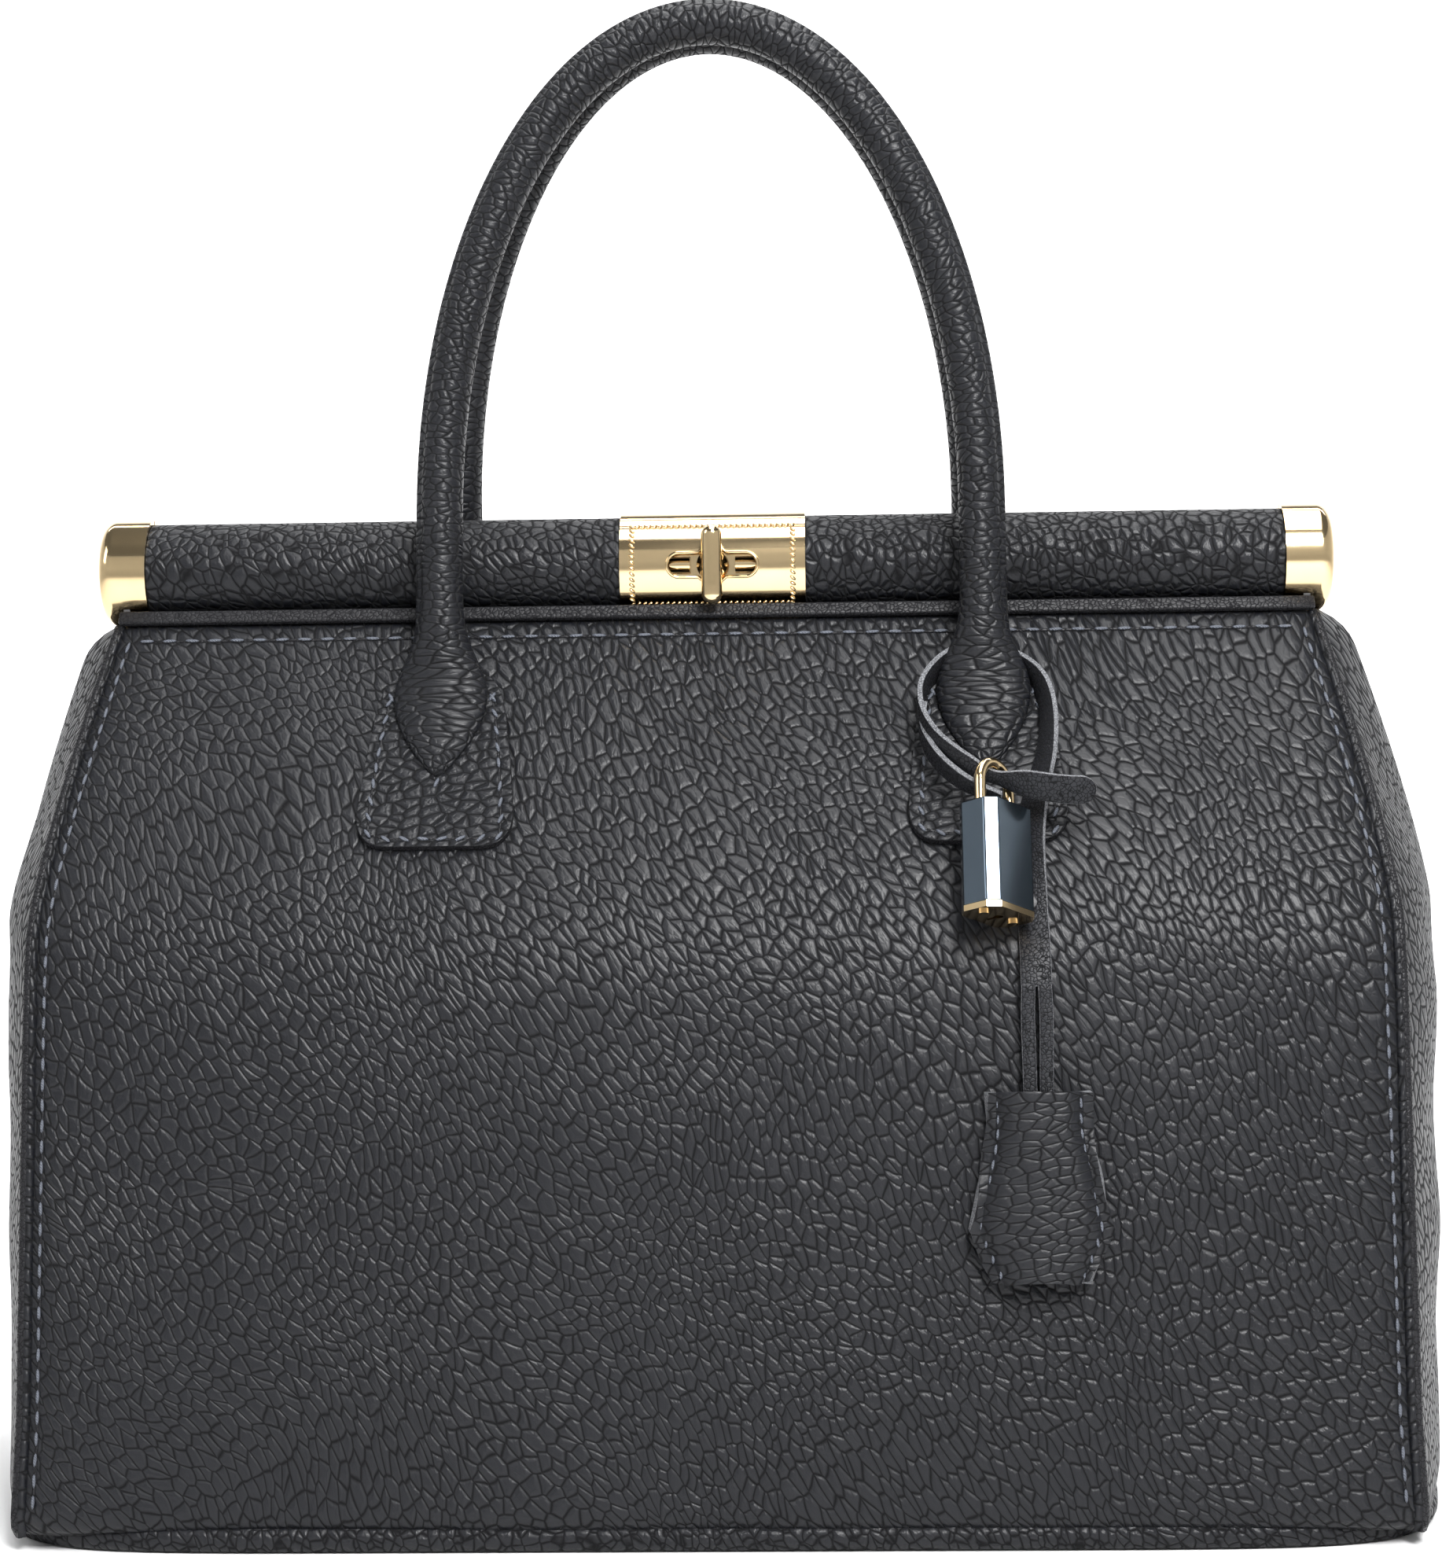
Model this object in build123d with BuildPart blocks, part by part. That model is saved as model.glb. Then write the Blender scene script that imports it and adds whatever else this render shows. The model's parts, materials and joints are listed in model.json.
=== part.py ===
from build123d import *
from math import atan2, cos, radians, sin, sqrt, tan
import os

os.makedirs("parts", exist_ok=True)

# Leather doctor bag, in millimetres. X runs along the bag, -Y is the front, +Z is up.
# The origin is the centre of the underside of the base.

# Frame: two half tubes on arms that share a pivot in each side
frame_length = 300.0
frame_half = frame_length / 2
frame_height = 223.0
pivot_height = 145.0
bar_radius = 12.0
cover_wall = 1.8
channel_wall = 1.6
cap_proud = 1.0
cap_radius = bar_radius + cap_proud
cap_length = 11.8
cap_end_wall = 1.4
cap_round = 3.2
half_gap = 0.3
arm_wall = 1.6
arm_width = 8.0
arm_inset = 7.0
arm_eye = 5.5
pin_radius = 2.0
pin_head_radius = 4.0
pin_head = 1.2

# Base and body
panel_overhang = 7.0
panel_half_width = frame_half + panel_overhang
base_overhang = 8.0
base_length = 2 * (panel_half_width + base_overhang)
base_depth = 156.0
base_corner = 24.0
base_wall = 3.0
board_wall = 3.4
welt_height = 3.5
welt_width = 3.0
welt_proud = 1.5
panel_wall = 2.2
panel_top_inset = 5.5
panel_top_half_width = frame_half - panel_top_inset
wall_top = 131.0
wall_top_depth = 57.2
gusset_wall = 1.8
gusset_base_bulge = 16.0
gusset_top_bulge = 18.0
side_board_wall = 1.5

# Upper panels, hung from the frame halves
lip_depth = bar_radius * 0.75
lip_tuck = 1.2
lip_height = frame_height - bar_radius + lip_tuck
knee_depth = 43.0
knee_height = 160.0
hem_depth = 52.0
hem_height = 131.0
lip_wall = 1.6
lip_band = 11.4
lip_rise = 1.0
wing_wall = 1.5
wing_gap = 0.5
wing_place = frame_half + wing_gap

# Handles
handle_spacing = 129.0
handle_radius = 5.25
handle_bore = 3.6
handle_foot_depth = 25.5
handle_foot_drop = 19.0
handle_foot_height = frame_height - handle_foot_drop
handle_rise = 150.0
handle_top_depth = 6.0
handle_top_height = handle_foot_height + handle_rise
handle_leg = 32.0
patch_wall = 1.6
patch_drop = 10.0
patch_length = 37.0
patch_top = handle_foot_height - patch_drop
patch_bottom = patch_top - patch_length
patch_top_width = 27.0
patch_bottom_width = 37.0
patch_corner = 4.0
socket_drop = 32.0
socket_foot = handle_foot_height - socket_drop
socket_top_width = 11.0
socket_width = 23.0
socket_depth = 11.0

# Turn lock
plate_length = 45.0
plate_wall = 0.8
slot_length = 22.0
slot_height = 6.0
slot_eye = 4.5
case_length = 32.0
case_height = 8.8
barrel_radius = 2.0
barrel_length = 5.0
spindle_radius = 1.6
knob_height = 19.0
knob_width = 5.2
knob_wall = 3.5
knob_round = 0.6
collar_radius = 4.0
collar_wall = 1.6

# Charm: loop, strap, padlock and key bell
loop_half_width = 14.8
loop_back_depth = 19.3
loop_back_drop = 2.8
loop_back_height = handle_foot_height - loop_back_drop
loop_front_depth = 52.0
loop_front_drop = 32.0
loop_front_height = handle_foot_height - loop_front_drop
loop_radius = 1.3
strap_width = 7.0
strap_wall = 1.4
strap_centre = 74.0
shackle_radius = 1.35
shackle_bow = 5.4
shackle_drop = 7.0
shackle_play = 1.1
shackle_entry = 6.0
padlock_centre = 65.5
padlock_tilt = 22.0
padlock_turn = 50.0
padlock_width = 17.0
padlock_depth = 11.2
padlock_height = 26.0
padlock_plate_wall = 1.4
padlock_bevel = 2.4
rivet_radius = 1.3
bell_centre_height = 81.0
bell_height = 43.0
bell_top_width = 23.0
bell_width = 33.0
bell_foot_width = 22.0
bell_depth = 8.0
bell_wall = 1.4
bell_standoff = 0.8
key_ring_radius = 5.0
key_ring_wire = 0.7
key_wall = 1.2

# Inside
lining_wall = 1.0
lining_top = 88.0
pocket_length = 150.0
pocket_top = 76.0
pocket_bottom = 24.0
pocket_wall = 2.4
zip_height = 5.0
zip_wall = 1.2
slider_length = 9.0
slider_wall = 2.0
pull_length = 16.0

# Clearances
fit = 0.1
running_fit = 0.06
free_gap = 0.3
body_gap = 0.35

wall_foot = base_wall + welt_height
wall_foot_depth = base_depth / 2 - panel_wall / 2
wall_lean = (wall_foot_depth - wall_top_depth) / (wall_top - wall_foot)
slope = atan2(knee_depth - lip_depth, lip_height - knee_height)
run_length = sqrt((knee_depth - lip_depth) ** 2 + (lip_height - knee_height) ** 2)
cap_start = frame_half - cap_length
cover_inner = bar_radius - cover_wall
channel_radius = cover_inner - fit * 2
sides = (("left", -1), ("right", 1))
halves = (("front", -1), ("rear", 1))


def save(name, piece):
    piece.part.label = name
    export_step(piece.part, f"parts/{name}.step")


def wall_depth(height, inset):
    return wall_foot_depth - wall_lean * (height - wall_foot) - inset


def on_slope(face, along, out):
    """Point (y, z) along mm down the upper panel from the lip and out mm off its middle."""
    depth = lip_depth + along * sin(slope) + out * cos(slope)
    height = lip_height - along * cos(slope) + out * sin(slope)
    return (face * depth, height)


def slope_depth(height, out):
    return lip_depth + (lip_height - height) * tan(slope) + out / cos(slope)


def hem_point(face, out):
    chord = atan2(hem_depth - knee_depth, knee_height - hem_height)
    lean = 2 * chord - slope
    return (face * (hem_depth + out * cos(lean)), hem_height + out * sin(lean))


def slope_section(face, out, wall):
    """Section that follows the upper panel, out mm off its middle."""
    with BuildSketch(Plane.YZ) as section:
        with BuildLine():
            run = Line(on_slope(face, 0, out), on_slope(face, run_length, out))
            TangentArc(run @ 1, hem_point(face, out), tangent=run % 1)
        trace(line_width=wall)
    return section.sketch


def half_ring(face, outer, inner):
    """Half ring round the bar's axis, on the face side of the parting plane."""
    with BuildSketch(Plane.YZ) as section:
        with Locations((0, frame_height)):
            Circle(outer)
            Circle(inner, mode=Mode.SUBTRACT)
        with Locations((face * (outer + half_gap), frame_height)):
            Rectangle(outer * 2, outer * 2.2, mode=Mode.INTERSECT)
    return section.sketch


# --- Base ---------------------------------------------------------------------------------
with BuildPart() as base_panel:
    with BuildSketch():
        RectangleRounded(base_length, base_depth, base_corner)
    extrude(amount=base_wall)
    fillet(base_panel.faces().sort_by(Axis.Z)[0].edges(), 1.2)
save("base_panel", base_panel)

with BuildPart() as board_blank:
    with BuildSketch(Plane.XY.offset(base_wall)):
        inset = welt_width + fit
        RectangleRounded(base_length - 2 * inset, base_depth - 2 * inset, base_corner - inset)
        with Locations((-panel_half_width, 0), (panel_half_width, 0)):
            Rectangle(side_board_wall + 4, base_depth, mode=Mode.SUBTRACT)
    extrude(amount=board_wall)
with BuildPart() as base_board:
    add(board_blank.solids().sort_by(SortBy.VOLUME)[-1])
save("base_board", base_board)

with BuildPart() as base_welt:
    with BuildSketch(Plane.XY.offset(base_wall)):
        proud = 2 * welt_proud
        RectangleRounded(base_length + proud, base_depth + proud, base_corner + welt_proud)
        RectangleRounded(
            base_length + proud - 2 * welt_width - 2 * welt_proud,
            base_depth + proud - 2 * welt_width - 2 * welt_proud,
            base_corner - welt_width,
            mode=Mode.SUBTRACT,
        )
    extrude(amount=welt_height)
save("base_welt", base_welt)

# --- Lower walls, front and rear ----------------------------------------------------------
for half, face in halves:
    with BuildPart() as wall:
        with BuildSketch(Plane.YZ):
            with BuildLine():
                Line((face * wall_foot_depth, wall_foot), (face * wall_top_depth, wall_top))
            trace(line_width=panel_wall)
        extrude(amount=panel_half_width, both=True)
        with BuildSketch(Plane.XY.offset(wall_foot)):
            Rectangle(2 * panel_half_width, 2 * base_depth)
        extrude(amount=wall_top, mode=Mode.INTERSECT)
    save(f"{half}_lower_panel", wall)

# --- Side gussets, their boards and the pivot pins ----------------------------------------
for side, hand in sides:
    with BuildPart() as gusset:
        levels = (
            (wall_foot, wall_foot_depth, gusset_base_bulge),
            (wall_top, wall_top_depth, gusset_top_bulge),
        )
        for height, depth, bulge in levels:
            with BuildSketch(Plane.XY.offset(height)):
                with BuildLine():
                    near = hand * (panel_half_width + fit)
                    far = hand * (panel_half_width + bulge)
                    inner_depth = depth - gusset_wall * 2
                    ThreePointArc((near, -depth), (far, 0), (near, depth))
                    Line((near, depth), (near, inner_depth))
                    ThreePointArc((near, inner_depth), (far - hand * gusset_wall, 0), (near, -inner_depth))
                    Line((near, -inner_depth), (near, -depth))
                make_face()
        loft()
    save(f"{side}_gusset", gusset)

    board_place = hand * (panel_half_width + free_gap + fit)
    with BuildPart() as board:
        with BuildSketch(Plane.YZ.offset(board_place)):
            with BuildLine():
                foot = base_depth * 0.4
                shoulder = wall_top_depth * 0.77
                Polyline(
                    (-foot, base_wall),
                    (foot, base_wall),
                    (shoulder, wall_top),
                    (arm_width * 1.5, pivot_height + arm_eye),
                    (0, pivot_height + arm_eye * 2),
                    (-arm_width * 1.5, pivot_height + arm_eye),
                    (-shoulder, wall_top),
                    close=True,
                )
            make_face()
            with Locations((0, pivot_height)):
                Circle(pin_radius + running_fit, mode=Mode.SUBTRACT)
        extrude(amount=hand * side_board_wall)
    save(f"{side}_gusset_board", board)

    inner_end = hand * (frame_half - arm_inset - free_gap)
    outer_end = board_place + hand * (side_board_wall + fit)
    with BuildPart() as pin:
        with BuildSketch(Plane.YZ.offset(inner_end)):
            with Locations((0, pivot_height)):
                Circle(pin_radius)
        extrude(amount=outer_end - inner_end)
        with BuildSketch(Plane.YZ.offset(inner_end)):
            with Locations((0, pivot_height)):
                Circle(pin_head_radius)
        extrude(amount=-hand * pin_head)
        with BuildSketch(Plane.YZ.offset(outer_end)):
            with Locations((0, pivot_height)):
                Circle(pin_head_radius)
        extrude(amount=hand * pin_head)
    save(f"{side}_hinge_pin", pin)

# --- Lining, inner pocket and its zip -----------------------------------------------------
lining_floor = base_wall + board_wall + fit
lining_half_length = panel_half_width - free_gap * 4
with BuildPart() as lining:
    for height in (lining_floor, lining_top):
        with BuildSketch(Plane.XY.offset(height)):
            Rectangle(2 * lining_half_length, 2 * wall_depth(height, panel_wall / 2 + free_gap))
    loft()
    for height in (lining_floor + lining_wall, lining_top + fit):
        with BuildSketch(Plane.XY.offset(height)):
            Rectangle(
                2 * (lining_half_length - lining_wall),
                2 * wall_depth(height, panel_wall / 2 + free_gap + lining_wall),
            )
    loft(mode=Mode.SUBTRACT)
save("lining", lining)

pocket_back = panel_wall / 2 + free_gap + lining_wall
with BuildPart() as inner_pocket:
    with BuildSketch(Plane.YZ):
        with BuildLine():
            Polyline(
                (wall_depth(pocket_bottom, pocket_back), pocket_bottom),
                (wall_depth(pocket_top, pocket_back), pocket_top),
                (wall_depth(pocket_top, pocket_back + pocket_wall), pocket_top),
                (wall_depth(pocket_bottom, pocket_back + pocket_wall), pocket_bottom),
                close=True,
            )
        make_face()
    extrude(amount=pocket_length / 2, both=True)
save("inner_pocket", inner_pocket)

zip_bottom = pocket_top + fit
zip_top = zip_bottom + zip_height
with BuildPart() as pocket_zip:
    with BuildSketch(Plane.YZ):
        with BuildLine():
            Polyline(
                (wall_depth(zip_bottom, pocket_back), zip_bottom),
                (wall_depth(zip_top, pocket_back), zip_top),
                (wall_depth(zip_top, pocket_back + zip_wall), zip_top),
                (wall_depth(zip_bottom, pocket_back + zip_wall), zip_bottom),
                close=True,
            )
        make_face()
    extrude(amount=pocket_length / 2, both=True)
save("pocket_zip", pocket_zip)

slider_back = pocket_back + zip_wall + free_gap
slider_place = -pocket_length / 2 + slider_length
with BuildPart() as zip_slider:
    with BuildSketch(Plane.YZ.offset(slider_place)):
        with BuildLine():
            Polyline(
                (wall_depth(zip_bottom, slider_back), zip_bottom),
                (wall_depth(zip_top, slider_back), zip_top),
                (wall_depth(zip_top, slider_back + slider_wall), zip_top),
                (wall_depth(zip_bottom, slider_back + slider_wall), zip_bottom),
                close=True,
            )
        make_face()
    extrude(amount=slider_length / 2, both=True)
    pull_top = zip_top - free_gap
    pull_foot = pull_top - pull_length
    pull_back = slider_back + slider_wall
    with BuildSketch(Plane.YZ.offset(slider_place)):
        with BuildLine():
            Polyline(
                (wall_depth(pull_foot, pull_back), pull_foot),
                (wall_depth(pull_top, pull_back), pull_top),
                (wall_depth(pull_top, pull_back + zip_wall), pull_top),
                (wall_depth(pull_foot, pull_back + zip_wall), pull_foot),
                close=True,
            )
        make_face()
    extrude(amount=slider_length / 4, both=True)
save("zip_slider", zip_slider)

# --- Frame halves with their upper panels, patches and handles -----------------------------
case_set_back = 5.1
case_face = bar_radius - case_set_back
case_back = 1.5
plate_inner = bar_radius + fit
plate_outer = plate_inner + plate_wall
lock_hole_length = slot_length + 4
lock_hole_height = slot_height + 4

for half, face in halves:
    arm_place = frame_half - arm_inset
    if face > 0:
        arm_place = arm_place + arm_wall + fit * 4

    with BuildPart() as channel:
        ring = half_ring(face, channel_radius, channel_radius - channel_wall)
        extrude(ring, amount=frame_half - cap_end_wall - fit, both=True)
        for side, hand in sides:
            with BuildSketch(Plane.YZ.offset(hand * arm_place)):
                with Locations((0, frame_height)):
                    Circle(channel_radius)
                with Locations((face * (channel_radius + half_gap), frame_height)):
                    Rectangle(channel_radius * 2, channel_radius * 2.2, mode=Mode.INTERSECT)
                with BuildLine():
                    Polyline(
                        (face * half_gap, frame_height),
                        (face * (half_gap + arm_width), frame_height),
                        (face * arm_width / 2, pivot_height),
                        (-face * arm_width / 2, pivot_height),
                        (face * half_gap, frame_height - bar_radius * 2),
                        close=True,
                    )
                make_face()
                with Locations((0, pivot_height)):
                    Circle(arm_eye)
                    Circle(pin_radius + running_fit, mode=Mode.SUBTRACT)
            extrude(amount=hand * arm_wall)
        if face < 0:
            with BuildSketch(Plane.XZ):
                with Locations((0, frame_height)):
                    Rectangle(lock_hole_length, lock_hole_height)
            extrude(amount=bar_radius * 2, mode=Mode.SUBTRACT)
    save(f"{half}_frame_channel", channel)

    with BuildPart() as cover:
        extrude(half_ring(face, bar_radius, cover_inner), amount=cap_start - fit, both=True)
        if face < 0:
            with BuildSketch(Plane.XZ):
                with Locations((0, frame_height)):
                    Rectangle(lock_hole_length, lock_hole_height)
            extrude(amount=bar_radius * 2, mode=Mode.SUBTRACT)
    save(f"{half}_frame_cover", cover)

    for side, hand in sides:
        with BuildPart() as cap:
            with BuildSketch(Plane.YZ.offset(hand * cap_start)):
                with Locations((0, frame_height)):
                    Circle(cap_radius)
            extrude(amount=hand * cap_length)
            fillet(cap.faces().sort_by(Axis.X)[-1 if hand > 0 else 0].edges(), cap_round)
            with BuildSketch(Plane.YZ.offset(hand * cap_start)):
                with Locations((0, frame_height)):
                    Circle(cover_inner)
            extrude(amount=hand * (cap_length - cap_end_wall), mode=Mode.SUBTRACT)
            with BuildSketch(Plane.YZ):
                with Locations((face * (cap_radius * 2 + half_gap), frame_height)):
                    Rectangle(cap_radius * 4, cap_radius * 4)
            extrude(amount=frame_length, both=True, mode=Mode.INTERSECT)
            with BuildSketch(Plane.XY.offset(frame_height - cap_radius * 2)):
                with Locations((hand * (arm_place + arm_wall / 2), 0)):
                    Rectangle(arm_wall + free_gap * 2, 2 * (arm_width + 1.5))
            extrude(amount=cap_radius * 2, mode=Mode.SUBTRACT)
        save(f"{half}_{side}_cap", cap)

    with BuildPart() as plate:
        extrude(half_ring(face, plate_outer, plate_inner), amount=plate_length / 2, both=True)
        if face < 0:
            with BuildSketch(Plane.XZ):
                with Locations((0, frame_height)):
                    SlotOverall(slot_length, slot_height)
                    Circle(slot_eye)
            extrude(amount=bar_radius * 2, mode=Mode.SUBTRACT)
    save(f"{half}_lock_plate", plate)

    with BuildPart() as upper:
        extrude(slope_section(face, 0, panel_wall), amount=panel_half_width, both=True)
        with BuildSketch(Plane.XZ):
            with BuildLine():
                Polyline(
                    (-panel_half_width, hem_height - 5),
                    (panel_half_width, hem_height - 5),
                    (panel_half_width, pivot_height),
                    (panel_top_half_width, lip_height + 5),
                    (-panel_top_half_width, lip_height + 5),
                    (-panel_half_width, pivot_height),
                    close=True,
                )
            make_face()
        extrude(amount=base_depth, both=True, mode=Mode.INTERSECT)
    save(f"{half}_upper_panel", upper)

    with BuildPart() as lip:
        with BuildSketch(Plane.YZ):
            with BuildLine():
                off = panel_wall / 2 + lip_wall / 2
                Line(on_slope(face, -lip_rise, off), on_slope(face, lip_band - lip_rise, off))
            trace(line_width=lip_wall)
        extrude(amount=panel_top_half_width, both=True)
    save(f"{half}_lip", lip)

    for side, hand in sides:
        with BuildPart() as patch:
            section = slope_section(face, (panel_wall + patch_wall) / 2, patch_wall)
            extrude(section, amount=panel_half_width, both=True)
            with BuildSketch(Plane.XZ):
                with BuildLine():
                    middle = hand * handle_spacing / 2
                    Polyline(
                        (middle - patch_bottom_width / 2, patch_bottom),
                        (middle + patch_bottom_width / 2, patch_bottom),
                        (middle + patch_top_width / 2, patch_top),
                        (middle - patch_top_width / 2, patch_top),
                        close=True,
                    )
                make_face()
                fillet(vertices(), patch_corner)
            extrude(amount=base_depth, both=True, mode=Mode.INTERSECT)
        save(f"{half}_{side}_patch", patch)

    socket_top = handle_foot_height - handle_radius - body_gap
    socket_out = panel_wall / 2 + patch_wall
    knuckle = (socket_top + socket_foot) / 2
    with BuildPart() as sockets:
        for hand in (-1, 1):
            with BuildSketch(Plane(origin=(hand * handle_spacing / 2, 0, 0), z_dir=(0, -1, 0), x_dir=(1, 0, 0))):
                with BuildLine():
                    Polyline(
                        (-socket_top_width / 2, socket_top + 1),
                        (-socket_width / 2, knuckle),
                        (0, socket_foot - 1),
                        (socket_width / 2, knuckle),
                        (socket_top_width / 2, socket_top + 1),
                        close=True,
                    )
                make_face()
        extrude(amount=base_depth, both=True)
        with BuildSketch(Plane.YZ):
            with BuildLine():
                Polyline(
                    (face * slope_depth(socket_top, socket_out), socket_top),
                    (face * (slope_depth(socket_top, socket_out) + socket_depth), socket_top),
                    (face * (handle_foot_depth + handle_radius * 1.6), knuckle),
                    (face * slope_depth(socket_foot, socket_out + patch_wall), socket_foot),
                    (face * slope_depth(socket_foot, socket_out), socket_foot),
                    close=True,
                )
            make_face()
        extrude(amount=frame_length, both=True, mode=Mode.INTERSECT)
    save(f"{half}_handle_sockets", sockets)

    for side, hand in sides:
        with BuildPart() as wing:
            with BuildSketch(Plane.YZ.offset(hand * wing_place)):
                with BuildLine():
                    lay = -(panel_wall / 2 + fit)
                    top = on_slope(face, lip_band - lip_rise, lay)
                    knee = on_slope(face, run_length, lay)
                    bottom = (face * (abs(hem_point(face, lay)[0]) - 2.2), pivot_height - 3)
                    Polyline(
                        (face * half_gap * 2, top[1]),
                        top,
                        knee,
                        bottom,
                        (face * (arm_eye + 1.5), pivot_height - 3),
                        (face * half_gap * 2, pivot_height + arm_eye + 1.5),
                        close=True,
                    )
                make_face()
            extrude(amount=hand * wing_wall)
        save(f"{half}_{side}_wing", wing)

    rise_depth = handle_foot_depth - handle_top_depth
    rise_height = handle_top_height - handle_foot_height
    rise = sqrt(rise_depth**2 + rise_height**2)
    up = (0, -face * rise_depth / rise, rise_height / rise)
    handle_plane = Plane(
        origin=(0, face * handle_foot_depth, handle_foot_height),
        x_dir=(1, 0, 0),
        z_dir=(0, -up[2], up[1]),
    )
    reach = handle_spacing / 2
    with BuildPart() as handle:
        with BuildLine(handle_plane) as bend:
            Line((-reach, 0), (-reach, handle_leg))
            EllipticalCenterArc((0, handle_leg), reach, rise - handle_leg, 180, arc_size=-180)
            Line((reach, handle_leg), (reach, 0))
        with BuildSketch(Plane(bend.line @ 0, z_dir=bend.line % 0)):
            Circle(handle_radius)
            Circle(handle_bore, mode=Mode.SUBTRACT)
        sweep(path=bend.line)
        with Locations(handle_plane):
            with Locations((-reach, 0), (reach, 0)):
                Sphere(handle_radius)
    save(f"{half}_handle", handle)

    with BuildPart() as core:
        start = handle_radius + fit
        with BuildLine(handle_plane) as middle_line:
            Line((-reach, start), (-reach, handle_leg))
            EllipticalCenterArc((0, handle_leg), reach, rise - handle_leg, 180, arc_size=-180)
            Line((reach, handle_leg), (reach, start))
        with BuildSketch(Plane(middle_line.line @ 0, z_dir=middle_line.line % 0)):
            Circle(handle_bore - fit)
        sweep(path=middle_line.line)
    save(f"{half}_handle_core", core)

# --- Turn lock ----------------------------------------------------------------------------
with BuildPart() as lock_case:
    with BuildSketch(Plane.XZ.offset(case_back)):
        with Locations((0, frame_height)):
            Rectangle(case_length, case_height)
    extrude(amount=case_face - case_back)
    for hand in (-1, 1):
        place = hand * (slot_eye + fit * 10)
        with BuildSketch(Plane.YZ.offset(place)):
            with Locations((-(case_face + barrel_radius - fit * 3), frame_height)):
                Circle(barrel_radius)
        extrude(amount=hand * barrel_length)
    with BuildSketch(Plane.XZ):
        with Locations((0, frame_height)):
            Circle(spindle_radius + running_fit)
    extrude(amount=bar_radius, mode=Mode.SUBTRACT)
save("lock_case", lock_case)

collar_place = plate_outer + body_gap
with BuildPart() as knob_spindle:
    with BuildSketch(Plane.XZ.offset(case_back + 1)):
        with Locations((0, frame_height)):
            Circle(spindle_radius)
    extrude(amount=collar_place - case_back - 1)
save("knob_spindle", knob_spindle)

with BuildPart() as turn_knob:
    with BuildSketch(Plane.XZ.offset(collar_place)):
        with Locations((0, frame_height)):
            Circle(collar_radius)
    extrude(amount=collar_wall)
    with BuildSketch(Plane.XZ.offset(collar_place + collar_wall)):
        with Locations((0, frame_height)):
            Ellipse(knob_width / 2, knob_height / 2)
    extrude(amount=knob_wall)
    fillet(turn_knob.faces().sort_by(Axis.Y)[0].edges(), knob_round)
save("turn_knob", turn_knob)

# --- Charm loop and strap -----------------------------------------------------------------
loop_run = sqrt((loop_front_depth - loop_back_depth) ** 2 + (loop_back_height - loop_front_height) ** 2)
loop_up = (
    (loop_front_depth - loop_back_depth) / loop_run,
    (loop_back_height - loop_front_height) / loop_run,
)
loop_plane = Plane(
    origin=(
        handle_spacing / 2,
        -(loop_front_depth + loop_back_depth) / 2,
        (loop_back_height + loop_front_height) / 2,
    ),
    x_dir=(1, 0, 0),
    z_dir=(0, -loop_up[1], loop_up[0]),
)
with BuildPart() as charm_loop:
    with BuildLine(loop_plane) as ring:
        EllipticalCenterArc((0, 0), loop_half_width, loop_run / 2, 0, arc_size=180)
        EllipticalCenterArc((0, 0), loop_half_width, loop_run / 2, 180, arc_size=180)
    with BuildSketch(Plane(ring.line @ 0, z_dir=ring.line % 0)):
        Circle(loop_radius)
    sweep(path=ring.line)
save("charm_loop", charm_loop)

bell_lean = atan2(wall_lean, 1)
bell_middle = panel_wall / 2 + bell_standoff + bell_depth / 2


def bell_axis_depth(height):
    return wall_depth(height, 0) + bell_middle / cos(bell_lean)


strap_foot = bell_centre_height + bell_height / 2 - 8
strap_straight = wall_top - 3
with BuildPart() as charm_strap:
    with BuildSketch(Plane.YZ.offset(strap_centre)):
        with BuildLine():
            FilletPolyline(
                (-(loop_front_depth - 3.2), loop_front_height + 0.4),
                (-(slope_depth(163, panel_wall / 2 + patch_wall) + 2.6), 163),
                (-(hem_depth + 1.7), 142),
                (-bell_axis_depth(strap_straight), strap_straight),
                (-bell_axis_depth(strap_foot), strap_foot),
                radius=4,
            )
        trace(line_width=strap_wall)
    extrude(amount=strap_width / 2, both=True)
save("charm_strap", charm_strap)

with BuildPart() as charm_tail:
    tail_depth = loop_front_depth - strap_wall / 2 + fit * 5
    with BuildSketch(Plane.XZ.offset(tail_depth)):
        with Locations((padlock_centre + 13.5, loop_front_height - strap_width / 2 + 1)):
            SlotOverall(16.5, strap_width)
    extrude(amount=strap_wall)
save("charm_tail", charm_tail)

# --- Padlock ------------------------------------------------------------------------------
lock_down = (0, -sin(radians(padlock_tilt)), -cos(radians(padlock_tilt)))
hang_point = (padlock_centre, -loop_front_depth, loop_front_height)
turn_x = (
    cos(radians(padlock_turn)),
    sin(radians(padlock_turn)) * cos(radians(padlock_tilt)),
    -sin(radians(padlock_turn)) * sin(radians(padlock_tilt)),
)
axis_plane = Plane(origin=hang_point, x_dir=turn_x, z_dir=lock_down)
bow_plane = Plane(origin=hang_point, x_dir=turn_x, z_dir=axis_plane.y_dir)
bow_offset = shackle_bow - (loop_radius + shackle_play + shackle_radius)
leg_end = shackle_drop + shackle_entry
bow_side = 1 if (bow_plane.y_dir.dot(Vector(*lock_down)) > 0) else -1
with BuildPart() as shackle:
    with BuildLine(bow_plane) as bow:
        Line((-shackle_bow, bow_side * leg_end), (-shackle_bow, bow_side * bow_offset))
        ThreePointArc(
            (-shackle_bow, bow_side * bow_offset),
            (0, bow_side * (bow_offset - shackle_bow)),
            (shackle_bow, bow_side * bow_offset),
        )
        Line((shackle_bow, bow_side * bow_offset), (shackle_bow, bow_side * leg_end))
    with BuildSketch(Plane(bow.line @ 0, z_dir=bow.line % 0)):
        Circle(shackle_radius)
    sweep(path=bow.line)
save("shackle", shackle)

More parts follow.
